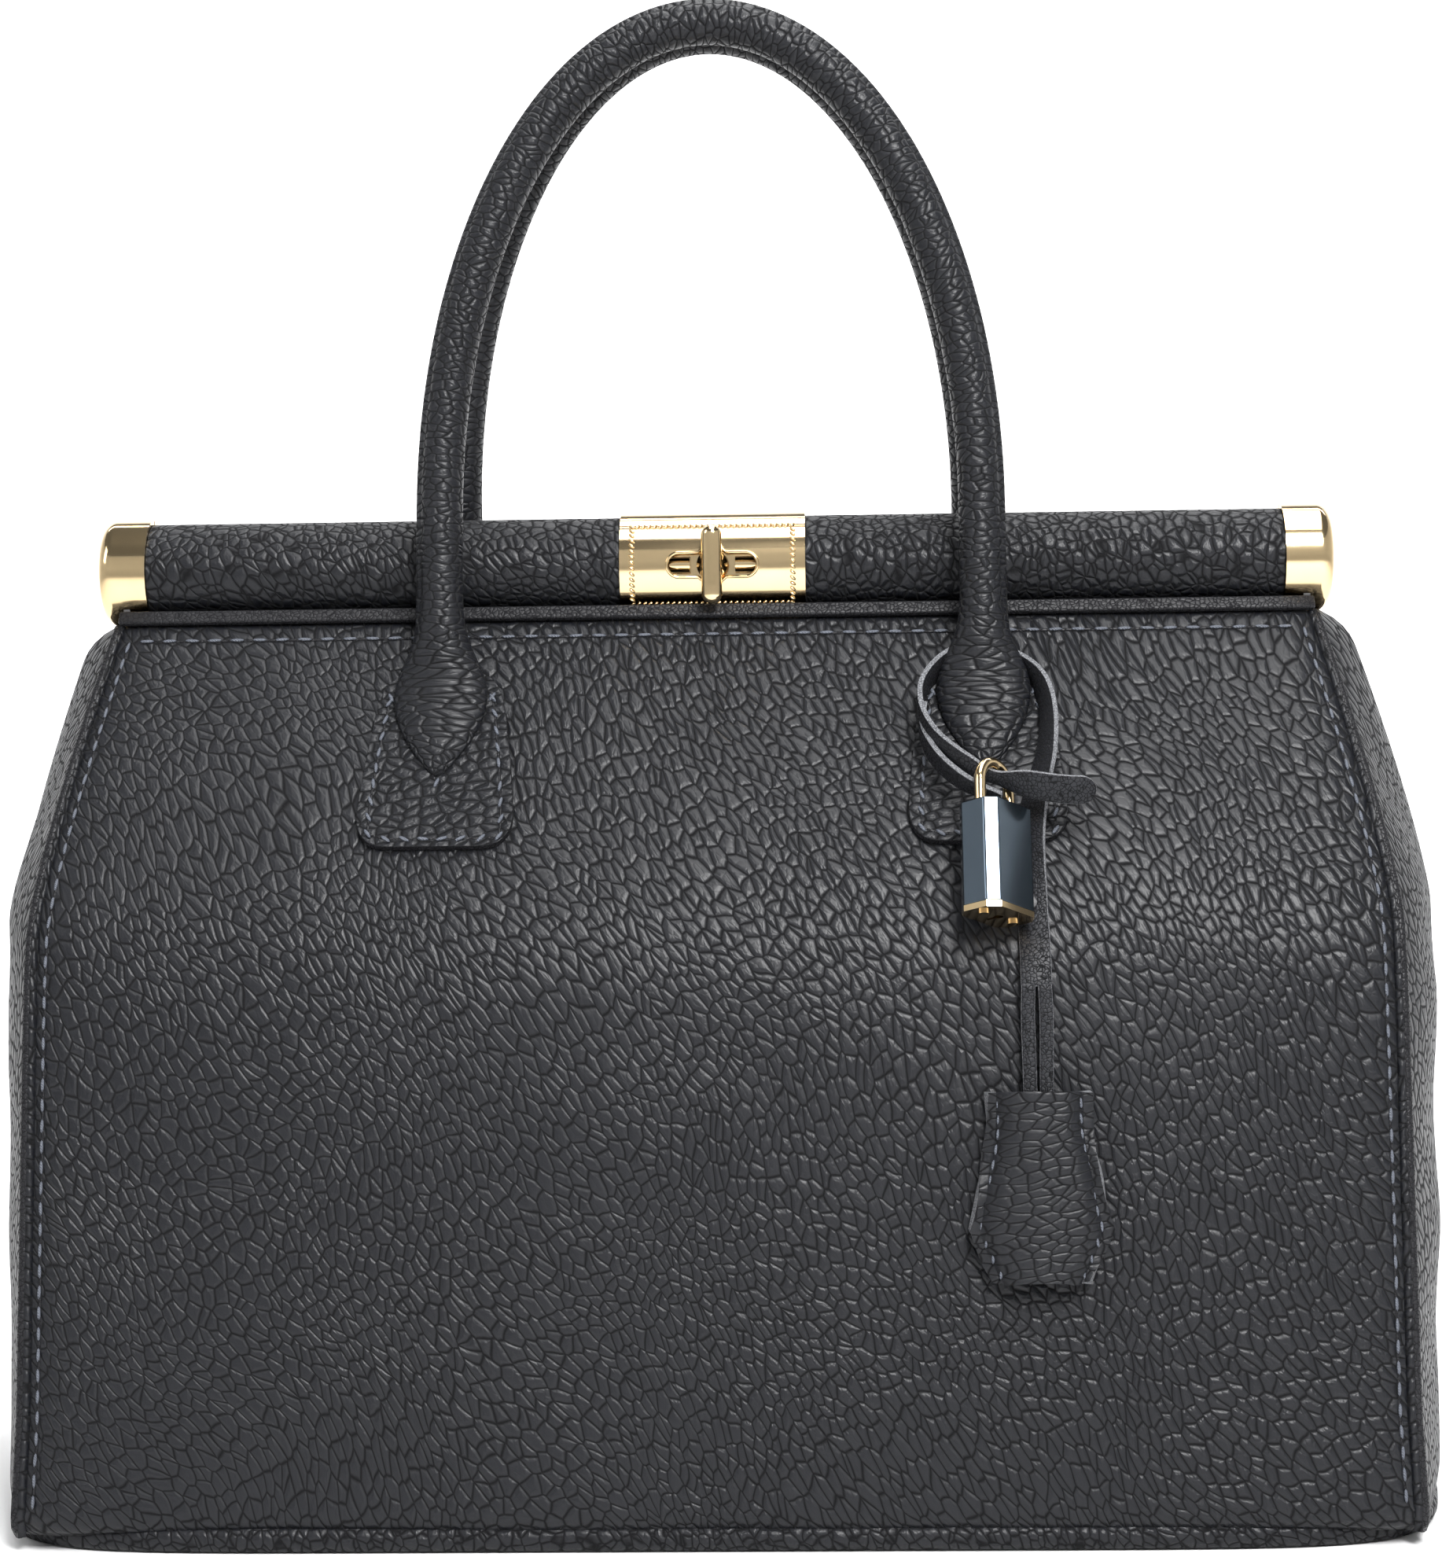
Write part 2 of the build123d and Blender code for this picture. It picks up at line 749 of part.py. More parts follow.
with BuildPart() as padlock_body:
    with BuildSketch(axis_plane.offset(shackle_drop)):
        Rectangle(padlock_width, padlock_depth)
        chamfer(vertices(), padlock_bevel)
    extrude(amount=padlock_height - padlock_plate_wall)
    with BuildSketch(axis_plane.offset(shackle_drop)):
        with Locations((-shackle_bow, 0), (shackle_bow, 0)):
            Circle(shackle_radius + running_fit)
    extrude(amount=shackle_entry + 6, mode=Mode.SUBTRACT)
save("padlock_body", padlock_body)

plate_start = shackle_drop + padlock_height - padlock_plate_wall
with BuildPart() as padlock_plate:
    with BuildSketch(axis_plane.offset(plate_start)):
        Rectangle(padlock_width, padlock_depth)
        chamfer(vertices(), padlock_bevel)
        Circle(1.1, mode=Mode.SUBTRACT)
        with Locations((0, -1.6)):
            Rectangle(1.0, 3.2, mode=Mode.SUBTRACT)
    extrude(amount=padlock_plate_wall)
save("padlock_plate", padlock_plate)

with BuildPart() as padlock_rivets:
    with BuildSketch(axis_plane.offset(plate_start + padlock_plate_wall)):
        with Locations((-shackle_bow, 0), (shackle_bow, 0)):
            Circle(rivet_radius)
    extrude(amount=0.6)
save("padlock_rivets", padlock_rivets)

# --- Key bell and keys --------------------------------------------------------------------
bell_plane = Plane(
    origin=(strap_centre, -bell_axis_depth(bell_centre_height), bell_centre_height),
    x_dir=(1, 0, 0),
    z_dir=(0, -cos(bell_lean), sin(bell_lean)),
)
bell_top = bell_height / 2
bell_belly = -9.5
mouth = strap_width / 2 + 0.7
cavity = bell_depth / 2 - bell_wall
bell_halves = (("bell_front", 1), ("bell_back", -1))
for name, out in bell_halves:
    with BuildPart() as bell:
        with BuildSketch(bell_plane.offset(out * fit / 2)):
            with BuildLine():
                Polyline(
                    (-bell_top_width / 2, bell_top),
                    (-bell_width / 2, bell_belly),
                    (-bell_foot_width / 2, -bell_top),
                    (bell_foot_width / 2, -bell_top),
                    (bell_width / 2, bell_belly),
                    (bell_top_width / 2, bell_top),
                    close=True,
                )
            make_face()
        extrude(amount=out * (bell_depth / 2 - fit / 2))
        with BuildSketch(bell_plane):
            with BuildLine():
                Polyline(
                    (-mouth, bell_top + 1),
                    (-mouth, bell_top - 4),
                    (-bell_top_width / 2 + 3, bell_top - 6),
                    (-bell_width / 2 + 3.5, bell_belly),
                    (-bell_foot_width / 2 + 3, -bell_top - 1),
                    (bell_foot_width / 2 - 3, -bell_top - 1),
                    (bell_width / 2 - 3.5, bell_belly),
                    (bell_top_width / 2 - 3, bell_top - 6),
                    (mouth, bell_top - 4),
                    (mouth, bell_top + 1),
                    close=True,
                )
            make_face()
        extrude(amount=out * cavity, mode=Mode.SUBTRACT)
    save(name, bell)

ring_place = bell_top - 8 - key_ring_radius - fit
with BuildPart() as key_ring:
    with BuildSketch(bell_plane.offset(-key_ring_wire)):
        with Locations((0, ring_place)):
            Circle(key_ring_radius)
            Circle(key_ring_radius - 2 * key_ring_wire, mode=Mode.SUBTRACT)
    extrude(amount=2 * key_ring_wire)
save("key_ring", key_ring)

key_bow = 5.0
key_bow_place = ring_place - key_ring_radius - key_bow - fit
with BuildPart() as keys:
    for level in (-key_wall - fit, fit):
        with BuildSketch(bell_plane.offset(level)):
            with Locations((0, key_bow_place)):
                Circle(key_bow)
            with Locations((0, key_bow_place - key_bow - 5.5)):
                Rectangle(2.4, 13)
            with Locations((2.0, key_bow_place - key_bow - 9)):
                Rectangle(2.6, 1.6)
            with Locations((0, key_bow_place + 1.6)):
                Circle(1.6, mode=Mode.SUBTRACT)
        extrude(amount=key_wall)
save("keys", keys)
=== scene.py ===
import json
import math

import bmesh
import bpy
from mathutils import Matrix, Vector, noise


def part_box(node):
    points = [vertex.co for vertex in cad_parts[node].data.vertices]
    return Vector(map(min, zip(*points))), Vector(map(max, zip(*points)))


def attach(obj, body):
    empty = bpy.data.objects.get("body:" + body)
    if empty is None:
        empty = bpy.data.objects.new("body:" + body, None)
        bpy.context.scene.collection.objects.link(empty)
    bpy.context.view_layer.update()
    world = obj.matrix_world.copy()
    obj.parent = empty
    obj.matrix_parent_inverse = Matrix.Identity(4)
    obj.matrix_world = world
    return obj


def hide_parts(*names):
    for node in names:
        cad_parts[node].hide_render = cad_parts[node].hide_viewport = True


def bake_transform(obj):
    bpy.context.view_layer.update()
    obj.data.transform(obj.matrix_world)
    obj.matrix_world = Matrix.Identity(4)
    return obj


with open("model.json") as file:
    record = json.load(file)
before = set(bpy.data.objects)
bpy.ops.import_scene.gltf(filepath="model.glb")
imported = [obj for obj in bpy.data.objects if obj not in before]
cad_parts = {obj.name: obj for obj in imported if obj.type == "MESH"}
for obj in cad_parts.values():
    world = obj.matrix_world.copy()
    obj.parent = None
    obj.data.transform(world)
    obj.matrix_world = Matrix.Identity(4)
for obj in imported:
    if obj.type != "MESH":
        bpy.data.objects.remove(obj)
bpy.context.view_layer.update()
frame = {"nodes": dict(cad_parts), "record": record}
nodes = frame["nodes"]
print("frame loaded")

# places taken from the frame
handleRadius = 0.00525
barLow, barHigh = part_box("front_frame_cover")
handleLow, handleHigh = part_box("front_handle")
barHeight = (barLow.z + barHigh.z) / 2
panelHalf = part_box("front_lower_panel")[1].x
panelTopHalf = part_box("front_lip")[1].x
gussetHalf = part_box("right_gusset")[1].x
legReach = (handleHigh.x - handleLow.x) / 2 - handleRadius
faces = (("front", -1), ("rear", 1))
hands = (("left", -1), ("right", 1))


# helpers
def makePiece(name, bm, materials, smooth=True):
    bmesh.ops.recalc_face_normals(bm, faces=bm.faces)
    mesh = bpy.data.meshes.new(name)
    bm.to_mesh(mesh)
    bm.free()
    for polygon in mesh.polygons:
        polygon.use_smooth = smooth
    piece = bpy.data.objects.new(name, mesh)
    bpy.context.scene.collection.objects.link(piece)
    for material in materials:
        mesh.materials.append(material)
    return piece


def bevelEdges(piece, width, segments=2):
    modifier = piece.modifiers.new("edges", "BEVEL")
    modifier.width = width
    modifier.segments = segments
    modifier.limit_method = "ANGLE"
    modifier.angle_limit = math.radians(40)


# turns a sheet's faces to look the way given
def faceTowards(piece, direction, index=0):
    if piece.data.polygons[index].normal.dot(Vector(direction)) < 0:
        piece.data.flip_normals()


def thicken(piece, wall, offset=-1, inner=0):
    modifier = piece.modifiers.new("wall", "SOLIDIFY")
    modifier.thickness = wall
    modifier.offset = offset
    modifier.use_even_offset = True
    modifier.material_offset = inner
    return modifier


# bakes a leather piece's placement into its mesh; it stays on the body
def followFrame(piece):
    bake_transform(piece)


# even points along a smooth line through given points
def curvePoints(points, count, fine=24):
    points = [Vector(p) for p in points]
    padded = [points[0] * 2 - points[1]] + points + [points[-1] * 2 - points[-2]]
    dense = []
    for i in range(len(points) - 1):
        a, b, c, d = padded[i : i + 4]
        for k in range(fine):
            t = k / fine
            dense.append(
                0.5 * ((2 * b) + (c - a) * t + (2 * a - 5 * b + 4 * c - d) * t * t
                       + (3 * b - a - 3 * c + d) * t * t * t)
            )
    dense.append(points[-1])
    lengths = [0.0]
    for i in range(1, len(dense)):
        lengths.append(lengths[-1] + (dense[i] - dense[i - 1]).length)
    result, j = [], 0
    for k in range(count):
        want = lengths[-1] * k / (count - 1)
        while j < len(dense) - 2 and lengths[j + 1] < want:
            j += 1
        step = lengths[j + 1] - lengths[j]
        result.append(dense[j].lerp(dense[j + 1], (want - lengths[j]) / step if step else 0))
    return result


# skins a row of rings in an empty mesh: one circle, then one extrusion for each ring
def loftRings(bm, rings, close=False, caps=True, edgeSides=()):
    first = bmesh.ops.create_circle(bm, cap_ends=False, segments=len(rings[0]), radius=1)["verts"]
    place = {v: i for i, v in enumerate(first)}
    for v, i in place.items():
        v.co = rings[0][i]
    startEdges = list(bm.edges)
    edges = startEdges
    count = len(rings[0])
    for ring in rings[1:]:
        grown = bmesh.ops.extrude_edge_only(bm, edges=edges)["geom"]
        fresh = [g for g in grown if isinstance(g, bmesh.types.BMVert)]
        nextPlace = {}
        for v in fresh:
            for e in v.link_edges:
                old = e.other_vert(v)
                if old in place:
                    nextPlace[v] = place[old]
        for face in (g for g in grown if isinstance(g, bmesh.types.BMFace)):
            ids = sorted({place[v] for v in face.verts if v in place})
            side = ids[0] if ids[1] - ids[0] == 1 else count - 1
            face.material_index = 1 if side in edgeSides else 0
        for v, i in nextPlace.items():
            v.co = ring[i]
        edges = [e for e in (g for g in grown if isinstance(g, bmesh.types.BMEdge))
                 if e.verts[0] in nextPlace and e.verts[1] in nextPlace]
        place = nextPlace
    if close:
        made = bmesh.ops.bridge_loops(bm, edges=startEdges + edges)["faces"]
        for face in made:
            face.material_index = 0
    elif caps:
        for loop in (startEdges, edges):
            filled = bmesh.ops.edgeloop_fill(bm, edges=loop)["faces"]
            for face in filled:
                face.material_index = 1 if edgeSides else 0
    return bm


# flat strap along a smooth line; its cut edges take the second material
def ribbon(name, points, widthDirs, width, wall, materials, count=60, close=False, taper=None):
    line = curvePoints(points, count)
    dirs = curvePoints(widthDirs, count)
    rings = []
    for i, p in enumerate(line):
        before = line[i - 1] if (i or close) else p
        after = line[(i + 1) % count] if (i < count - 1 or close) else p
        along = (after - before).normalized()
        wide = (dirs[i] - along * dirs[i].dot(along)).normalized()
        thin = along.cross(wide).normalized()
        w = width * (taper(i / (count - 1)) if taper else 1) / 2
        corners = ((-1, -1), (1, -1), (1, 1), (-1, 1))
        rings.append([p + wide * (w * a) + thin * (wall / 2 * b) for a, b in corners])
    if close:
        rings.pop()
    bm = loftRings(bmesh.new(), rings, close=close, edgeSides=(1, 3))
    piece = makePiece(name, bm, materials)
    bevelEdges(piece, wall * 0.22)
    return piece


# row of thread stitches; each place is (point, along, out)
def stitchRow(name, places, look, size, slant=0.0):
    bm = bmesh.new()
    for i, (point, along, out) in enumerate(places):
        along = along.normalized()
        out = (out - along * out.dot(along)).normalized()
        side = out.cross(along)
        turn = slant + 0.05 * math.sin(i * 2.4)
        a = along * math.cos(turn) + side * math.sin(turn)
        b = side * math.cos(turn) - along * math.sin(turn)
        m = Matrix((
            (a.x * size[0] / 2, b.x * size[1] / 2, out.x * size[2] / 2, point.x),
            (a.y * size[0] / 2, b.y * size[1] / 2, out.y * size[2] / 2, point.y),
            (a.z * size[0] / 2, b.z * size[1] / 2, out.z * size[2] / 2, point.z),
            (0, 0, 0, 1),
        ))
        bmesh.ops.create_uvsphere(bm, u_segments=8, v_segments=5, radius=1, matrix=m)
    return makePiece(name, bm, [look])


# round piping along a line of points
def tube(name, line, radius, looks, segments=12, close=False):
    rings = []
    count = len(line)
    up = Vector((0.13, 0.31, 0.94))
    for i, p in enumerate(line):
        before = line[i - 1] if (i or close) else p
        after = line[(i + 1) % count] if (i < count - 1 or close) else p
        along = (after - before).normalized()
        if i == 0:
            side = along.cross(up).normalized()
        side = (side - along * side.dot(along)).normalized()
        other = along.cross(side)
        turns = [2 * math.pi * k / segments for k in range(segments)]
        rings.append([p + side * (radius * math.cos(a)) + other * (radius * math.sin(a)) for a in turns])
    return makePiece(name, loftRings(bmesh.new(), rings, close=close), looks)


# the dark groove that a row of stitches lies in
def stitchChannel(name, places, close=False):
    line = [point - out.normalized() * threadSet["sink"] for point, along, out in places]
    return tube(name, line, threadSet["groove"], [edgeLeather], 6, close=close)


# a row of stitches and its groove
def sewnRow(name, places, size, close=False):
    row = stitchRow(name + "Stitches", places, threadLook, size)
    return row, stitchChannel(name + "Channel", places, close)


# the groove, and the length, width and height of a stitch in each kind of row
threadSet = {
    "sink": 0.00045, "groove": 0.00042,
    "seam": (0.0033, 0.0009, 0.0007), "lip": (0.0036, 0.00085, 0.0006),
    "patch": (0.0029, 0.0009, 0.0007), "bell": (0.0026, 0.0008, 0.0007),
}


# materials
def blankMaterial(name):
    material = bpy.data.materials.new(name)
    material.use_nodes = True
    tree = material.node_tree
    return material, tree, tree.nodes["Principled BSDF"]


def addNode(tree, kind, **values):
    node = tree.nodes.new(kind)
    for key, value in values.items():
        setattr(node, key, value)
    return node


def noiseNode(tree, vector, scale, detail=2):
    node = addNode(tree, "ShaderNodeTexNoise")
    node.inputs["Scale"].default_value = scale
    node.inputs["Detail"].default_value = detail
    tree.links.new(vector, node.inputs["Vector"])
    return node


# a maths node; each value is a number or another node's output
def mathNode(tree, operation, *values):
    node = addNode(tree, "ShaderNodeMath", operation=operation)
    for socket, value in zip(node.inputs, values):
        if isinstance(value, (int, float)):
            socket.default_value = value
        else:
            tree.links.new(value, socket)
    return node.outputs[0]


# passes a value from one range to another
def rangeNode(tree, value, start=(0, 1), end=(0, 1), kind="LINEAR"):
    node = addNode(tree, "ShaderNodeMapRange", interpolation_type=kind)
    for socket, number in zip(("From Min", "From Max", "To Min", "To Max"), (*start, *end)):
        node.inputs[socket].default_value = number
    tree.links.new(value, node.inputs["Value"])
    return node


def mixColours(tree, share, first, second):
    node = addNode(tree, "ShaderNodeMixRGB")
    node.inputs["Color1"].default_value = (*first, 1)
    node.inputs["Color2"].default_value = (*second, 1)
    tree.links.new(share, node.inputs["Fac"])
    return node.outputs[0]


# pushes a pattern's coordinates about, so that its lines wander
def wander(tree, vector, scale, amount):
    drift = noiseNode(tree, vector, scale, 1)
    push = addNode(tree, "ShaderNodeVectorMath", operation="MULTIPLY_ADD")
    push.inputs[1].default_value = (amount, amount, amount)
    tree.links.new(drift.outputs["Color"], push.inputs[0])
    tree.links.new(vector, push.inputs[2])
    return push.outputs[0]


# rounded cells: their height, and the distance to the nearest crease
def cellDomes(tree, vector, scale, reach, flat):
    cells = addNode(tree, "ShaderNodeTexVoronoi", feature="DISTANCE_TO_EDGE")
    cells.voronoi_dimensions = "2D" if flat else "3D"
    cells.inputs["Scale"].default_value = scale
    cells.inputs["Randomness"].default_value = 0.9
    tree.links.new(vector, cells.inputs["Vector"])
    rise = rangeNode(tree, cells.outputs["Distance"], (0, reach)).outputs[0]
    slope = mathNode(tree, "POWER", mathNode(tree, "SUBTRACT", 1, rise), 2.0)
    return mathNode(tree, "SUBTRACT", 1, slope), cells.outputs["Distance"]


# the hide, unless a look says otherwise; plane is the two directions that the grain lies in
hideSet = {
    # the creases' colour is painted shade, darker than the domes
    "colour": (0.0058, 0.0063, 0.0082), "creaseColour": (0.0012, 0.0013, 0.0018), "roughness": 0.40,
    "relief": 0.8, "depth": 0.0005, "specular": 0.27,
    "onUv": False, "plane": None, "stretch": (1, 1, 1), "turn": (0, 0, 0), "flow": 0.022, "flowScale": 13,
    "domeReach": 0.38, "creaseWidth": (0.12, 0.20),
    "smallScale": 2.3, "smallReach": 0.4, "smallShare": 0.10,
    "poreScale": 5, "poreShare": 0.10, "unevenScale": 0.5, "unevenShare": 0.7,
    "regionScale": 11, "middleRange": (0.35, 0.65),
}


# pebbled hide: rounded cells between narrow creases, drawn out along the lie of the hide
def leatherLook(name, **changes):
    settings = {**hideSet, **changes}
    scale = settings["scale"]
    plane = settings["plane"]
    middleRange = settings["middleRange"]
    material, tree, shader = blankMaterial(name)
    link = tree.links.new
    coords = addNode(tree, "ShaderNodeTexCoord")
    source = coords.outputs["UV" if settings["onUv"] else "Object"]
    flow = wander(tree, source, settings["flowScale"], settings["flow"])
    if plane:
        apart = addNode(tree, "ShaderNodeSeparateXYZ")
        link(flow, apart.inputs[0])
        flat = addNode(tree, "ShaderNodeCombineXYZ")
        link(apart.outputs[plane[0]], flat.inputs["X"])
        link(apart.outputs[plane[1]], flat.inputs["Y"])
        flow = flat.outputs[0]
    mapping = addNode(tree, "ShaderNodeMapping", vector_type="TEXTURE")
    mapping.inputs["Rotation"].default_value = settings["turn"]
    mapping.inputs["Scale"].default_value = settings["stretch"]
    link(flow, mapping.inputs["Vector"])
    grain = wander(tree, mapping.outputs[0], scale * 0.45, 0.8 / scale)

    # height of the grain
    isFlat = bool(plane) or settings["onUv"]
    height, edgeDistance = cellDomes(tree, grain, scale, settings["domeReach"], isFlat)
    small, _ = cellDomes(tree, grain, scale * settings["smallScale"], settings["smallReach"], isFlat)
    pores = noiseNode(tree, grain, scale * settings["poreScale"], 3).outputs["Fac"]
    uneven = noiseNode(tree, grain, scale * settings["unevenScale"]).outputs["Fac"]
    for value, share in ((small, "smallShare"), (pores, "poreShare"), (uneven, "unevenShare")):
        height = mathNode(tree, "MULTIPLY_ADD", value, settings[share], height)

    # the grain is stronger in some parts of the hide than in others
    region = noiseNode(tree, coords.outputs["Object"], settings["regionScale"]).outputs["Fac"]
    relief = rangeNode(tree, region, middleRange, (settings["relief"] * 0.5, settings["relief"]))
    bump = addNode(tree, "ShaderNodeBump")
    bump.inputs["Distance"].default_value = settings["depth"]
    link(relief.outputs[0], bump.inputs["Strength"])
    link(height, bump.inputs["Height"])
    link(bump.outputs[0], shader.inputs["Normal"])

    # painted shade in the creases: they are darker than the domes, and duller, and not all of one width
    crease = rangeNode(tree, edgeDistance, kind="SMOOTHSTEP")
    creaseWidth = rangeNode(tree, uneven, middleRange, settings["creaseWidth"])
    link(creaseWidth.outputs[0], crease.inputs["From Max"])
    colour = mixColours(tree, crease.outputs[0], settings["creaseColour"], settings["colour"])
    link(colour, shader.inputs["Base Color"])
    rough = rangeNode(tree, crease.outputs[0], end=(1.0, settings["roughness"]))
    link(rough.outputs[0], shader.inputs["Roughness"])
    shader.inputs["Specular IOR Level"].default_value = settings["specular"]
    return material


# polished metal with faint smears
def metalLook(name, colour, roughness, wear=0.05):
    material, tree, shader = blankMaterial(name)
    link = tree.links.new
    coords = addNode(tree, "ShaderNodeTexCoord")
    smear = noiseNode(tree, coords.outputs["Object"], 120, 4).outputs["Fac"]
    rough = rangeNode(tree, smear, end=(roughness, roughness + wear))
    link(rough.outputs[0], shader.inputs["Roughness"])
    dull = [c * 0.86 for c in colour]
    link(mixColours(tree, smear, colour, dull), shader.inputs["Base Color"])
    shader.inputs["Metallic"].default_value = 1.0
    return material


# woven cloth, thread or board
def clothLook(name, colour, scale, roughness=0.85):
    material, tree, shader = blankMaterial(name)
    link = tree.links.new
    coords = addNode(tree, "ShaderNodeTexCoord")
    weave = addNode(tree, "ShaderNodeTexWave", wave_type="BANDS", bands_direction="DIAGONAL")
    weave.inputs["Scale"].default_value = scale
    weave.inputs["Distortion"].default_value = 0.6
    link(coords.outputs["Object"], weave.inputs["Vector"])
    fuzz = noiseNode(tree, coords.outputs["Object"], scale * 4)
    shadow = [c * 0.7 for c in colour]
    link(mixColours(tree, weave.outputs["Fac"], shadow, colour), shader.inputs["Base Color"])
    bump = addNode(tree, "ShaderNodeBump")
    bump.inputs["Strength"].default_value = 0.4
    bump.inputs["Distance"].default_value = 0.0003
    height = mathNode(tree, "ADD", weave.outputs["Fac"], fuzz.outputs["Fac"])
    link(height, bump.inputs["Height"])
    link(bump.outputs[0], shader.inputs["Normal"])
    shader.inputs["Roughness"].default_value = roughness
    return material


panelLeather = leatherLook("panelLeather", scale=440, plane="XZ", stretch=(1.0, 1.9, 1.0),
                           turn=(0, 0, math.radians(31)), flow=0.03, relief=0.85, depth=0.00048)
sideLeather = leatherLook("sideLeather", scale=430, plane="YZ", stretch=(1.0, 1.9, 1.0),
                          turn=(0, 0, math.radians(20)), flow=0.03, depth=0.0006)
barLeather = leatherLook("barLeather", scale=440, stretch=(1.0, 1.0, 1.5), turn=(0, math.radians(-24), 0))
handleLeather = leatherLook("handleLeather", scale=480, onUv=True, stretch=(0.9, 1.6, 1.0),
                            flow=0.004, flowScale=60)
patchLeather = leatherLook("patchLeather", scale=500, plane="XZ", stretch=(1.9, 1.0, 1.0),
                           turn=(0, 0, math.radians(10)), flow=0.01, relief=0.9, depth=0.0006, roughness=0.42)
bellLeather = leatherLook("bellLeather", scale=520, plane="XZ", stretch=(1.9, 1.0, 1.0),
                          turn=(0, 0, math.radians(8)), flow=0.008, relief=0.6, depth=0.00035, roughness=0.42)
strapLeather = leatherLook("strapLeather", scale=1100, flow=0.0, relief=0.5, depth=0.0002,
                           colour=(0.0085, 0.0090, 0.0115), roughness=0.46)
# edge and raw-edge leather carry their own painted shade for the creases
edgeLeather = leatherLook("edgeLeather", scale=900, flow=0.0, relief=0.5, depth=0.0002, roughness=0.42,
                          colour=(0.006, 0.006, 0.0075), creaseColour=(0.003, 0.003, 0.004))
rawEdge = leatherLook("rawEdge", scale=1500, flow=0.0, relief=0.6, depth=0.0002, roughness=0.8,
                      colour=(0.16, 0.165, 0.175), creaseColour=(0.05, 0.05, 0.055))
threadLook = clothLook("threadLook", (0.075, 0.084, 0.105), 900, 0.55)
liningLook = clothLook("liningLook", (0.075, 0.062, 0.050), 420)
gold = metalLook("gold", (0.80, 0.61, 0.35), 0.09)
steel = metalLook("steel", (0.56, 0.56, 0.57), 0.32, 0.15)
darkChrome = metalLook("darkChrome", (0.13, 0.165, 0.20), 0.12)
boardLook = clothLook("boardLook", (0.25, 0.19, 0.13), 160)
print("materials made")


# outline of the bag
shape = {
    "wallFoot": 0.0786, "wallLean": 0.158, "wallStart": 0.004,       # front wall: depth and lean
    "slopeTop": 0.0103, "slopeLean": 0.651, "slopeEnd": 0.2122,      # the part above it, up to the frame
    "bendSoft": 0.0035, "topHeight": 0.2105,
    "narrowFrom": 0.138, "narrowOver": 0.072, "narrowCurve": 1.35,   # how the front narrows upwards
    "footSpread": 0.0012, "footHeight": 0.03,
    "rollHeight": 0.0095, "rollDepth": 0.0055, "rollStart": 0.0035,  # the leather rolls under at the foot
    "edgeShare": 0.93, "edgeTurn": 0.0022,                           # and turns in to the seams
    "bulge": 0.0016, "sag": 0.0009,
}


def wallDepth(z):
    low = shape["wallFoot"] - shape["wallLean"] * (z - shape["wallStart"])
    high = shape["slopeTop"] + shape["slopeLean"] * (shape["slopeEnd"] - z)
    soft = shape["bendSoft"]
    return -soft * math.log(math.exp(-low / soft) + math.exp(-high / soft))


def halfWidth(z):
    half = panelHalf
    if z > shape["narrowFrom"]:
        rise = (z - shape["narrowFrom"]) / shape["narrowOver"]
        half -= (panelHalf - panelTopHalf) * rise ** shape["narrowCurve"]
    if z < shape["footHeight"]:
        half += shape["footSpread"] * (1 - z / shape["footHeight"])
    return half


def panelPoint(face, x, z, out=0.0):
    depth = wallDepth(z)
    share = min(1.0, abs(x) / halfWidth(z))
    depth += shape["bulge"] * (1 - share ** 2) * math.sin(math.pi * min(1, z / 0.2))
    broad = noise.noise(Vector((x * 14, face * 3.0, z * 17)))
    fine = noise.noise(Vector((x * 33, face, z * 40)))
    depth += shape["sag"] * (broad + 0.5 * fine) * (1 - share ** 8) * min(1.0, (0.213 - z) / 0.02)
    if share > shape["edgeShare"]:
        depth -= shape["edgeTurn"] * ((share - shape["edgeShare"]) / (1 - shape["edgeShare"])) ** 2
    if z < shape["rollHeight"]:
        rolled = min(1, (shape["rollHeight"] - z) / (shape["rollHeight"] - shape["rollStart"]))
        depth -= shape["rollDepth"] * (1 - math.sqrt(max(0.0, 1 - rolled ** 2)))
    return Vector((x, face * (depth + out), z))


def panelNormal(face, x, z):
    step = 0.0015
    a = panelPoint(face, x + step, z) - panelPoint(face, x - step, z)
    b = panelPoint(face, x, z + step) - panelPoint(face, x, z - step)
    n = a.cross(b).normalized()
    return n if n.y * face > 0 else -n


# front and rear panels
panelSet = {"across": 150, "up": 120, "wall": 0.0022, "low": 0.0036}
seamSet = {"start": 0.012, "end": 0.205, "inset": 0.0034, "pitch": 0.0047, "lift": 0.00035, "step": 0.002}


# height of a grid's point that runs from -1 to 1
def sheetHeight(v):
    return panelSet["low"] + (shape["topHeight"] - panelSet["low"]) * (v.co.y + 1) / 2


def seamPlaces(face, hand):
    places = []
    z = seamSet["start"]
    while z < seamSet["end"]:
        x = hand * (halfWidth(z) - seamSet["inset"])
        nextX = hand * (halfWidth(z + seamSet["step"]) - seamSet["inset"])
        here = panelPoint(face, x, z, seamSet["lift"])
        along = panelPoint(face, nextX, z + seamSet["step"], seamSet["lift"]) - here
        places.append((here, along, panelNormal(face, x, z)))
        z += seamSet["pitch"] * abs(along.z) / along.length
    return places


for half, face in faces:
    bm = bmesh.new()
    bmesh.ops.create_grid(bm, x_segments=panelSet["across"], y_segments=panelSet["up"], size=1)
    for v in bm.verts:
        z = sheetHeight(v)
        v.co = panelPoint(face, v.co.x * halfWidth(z), z)
    panel = makePiece(half + "Panel", bm, [panelLeather, liningLook])
    faceTowards(panel, (0, face, 0))
    thicken(panel, panelSet["wall"], offset=-1, inner=1)
    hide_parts(half + "_lower_panel", half + "_upper_panel")
    followFrame(panel)
    for side, hand in hands:
        places = seamPlaces(face, hand)
        for piece in sewnRow(half + side.capitalize() + "Seam", places, threadSet["seam"]):
            followFrame(piece)
print("panels made")

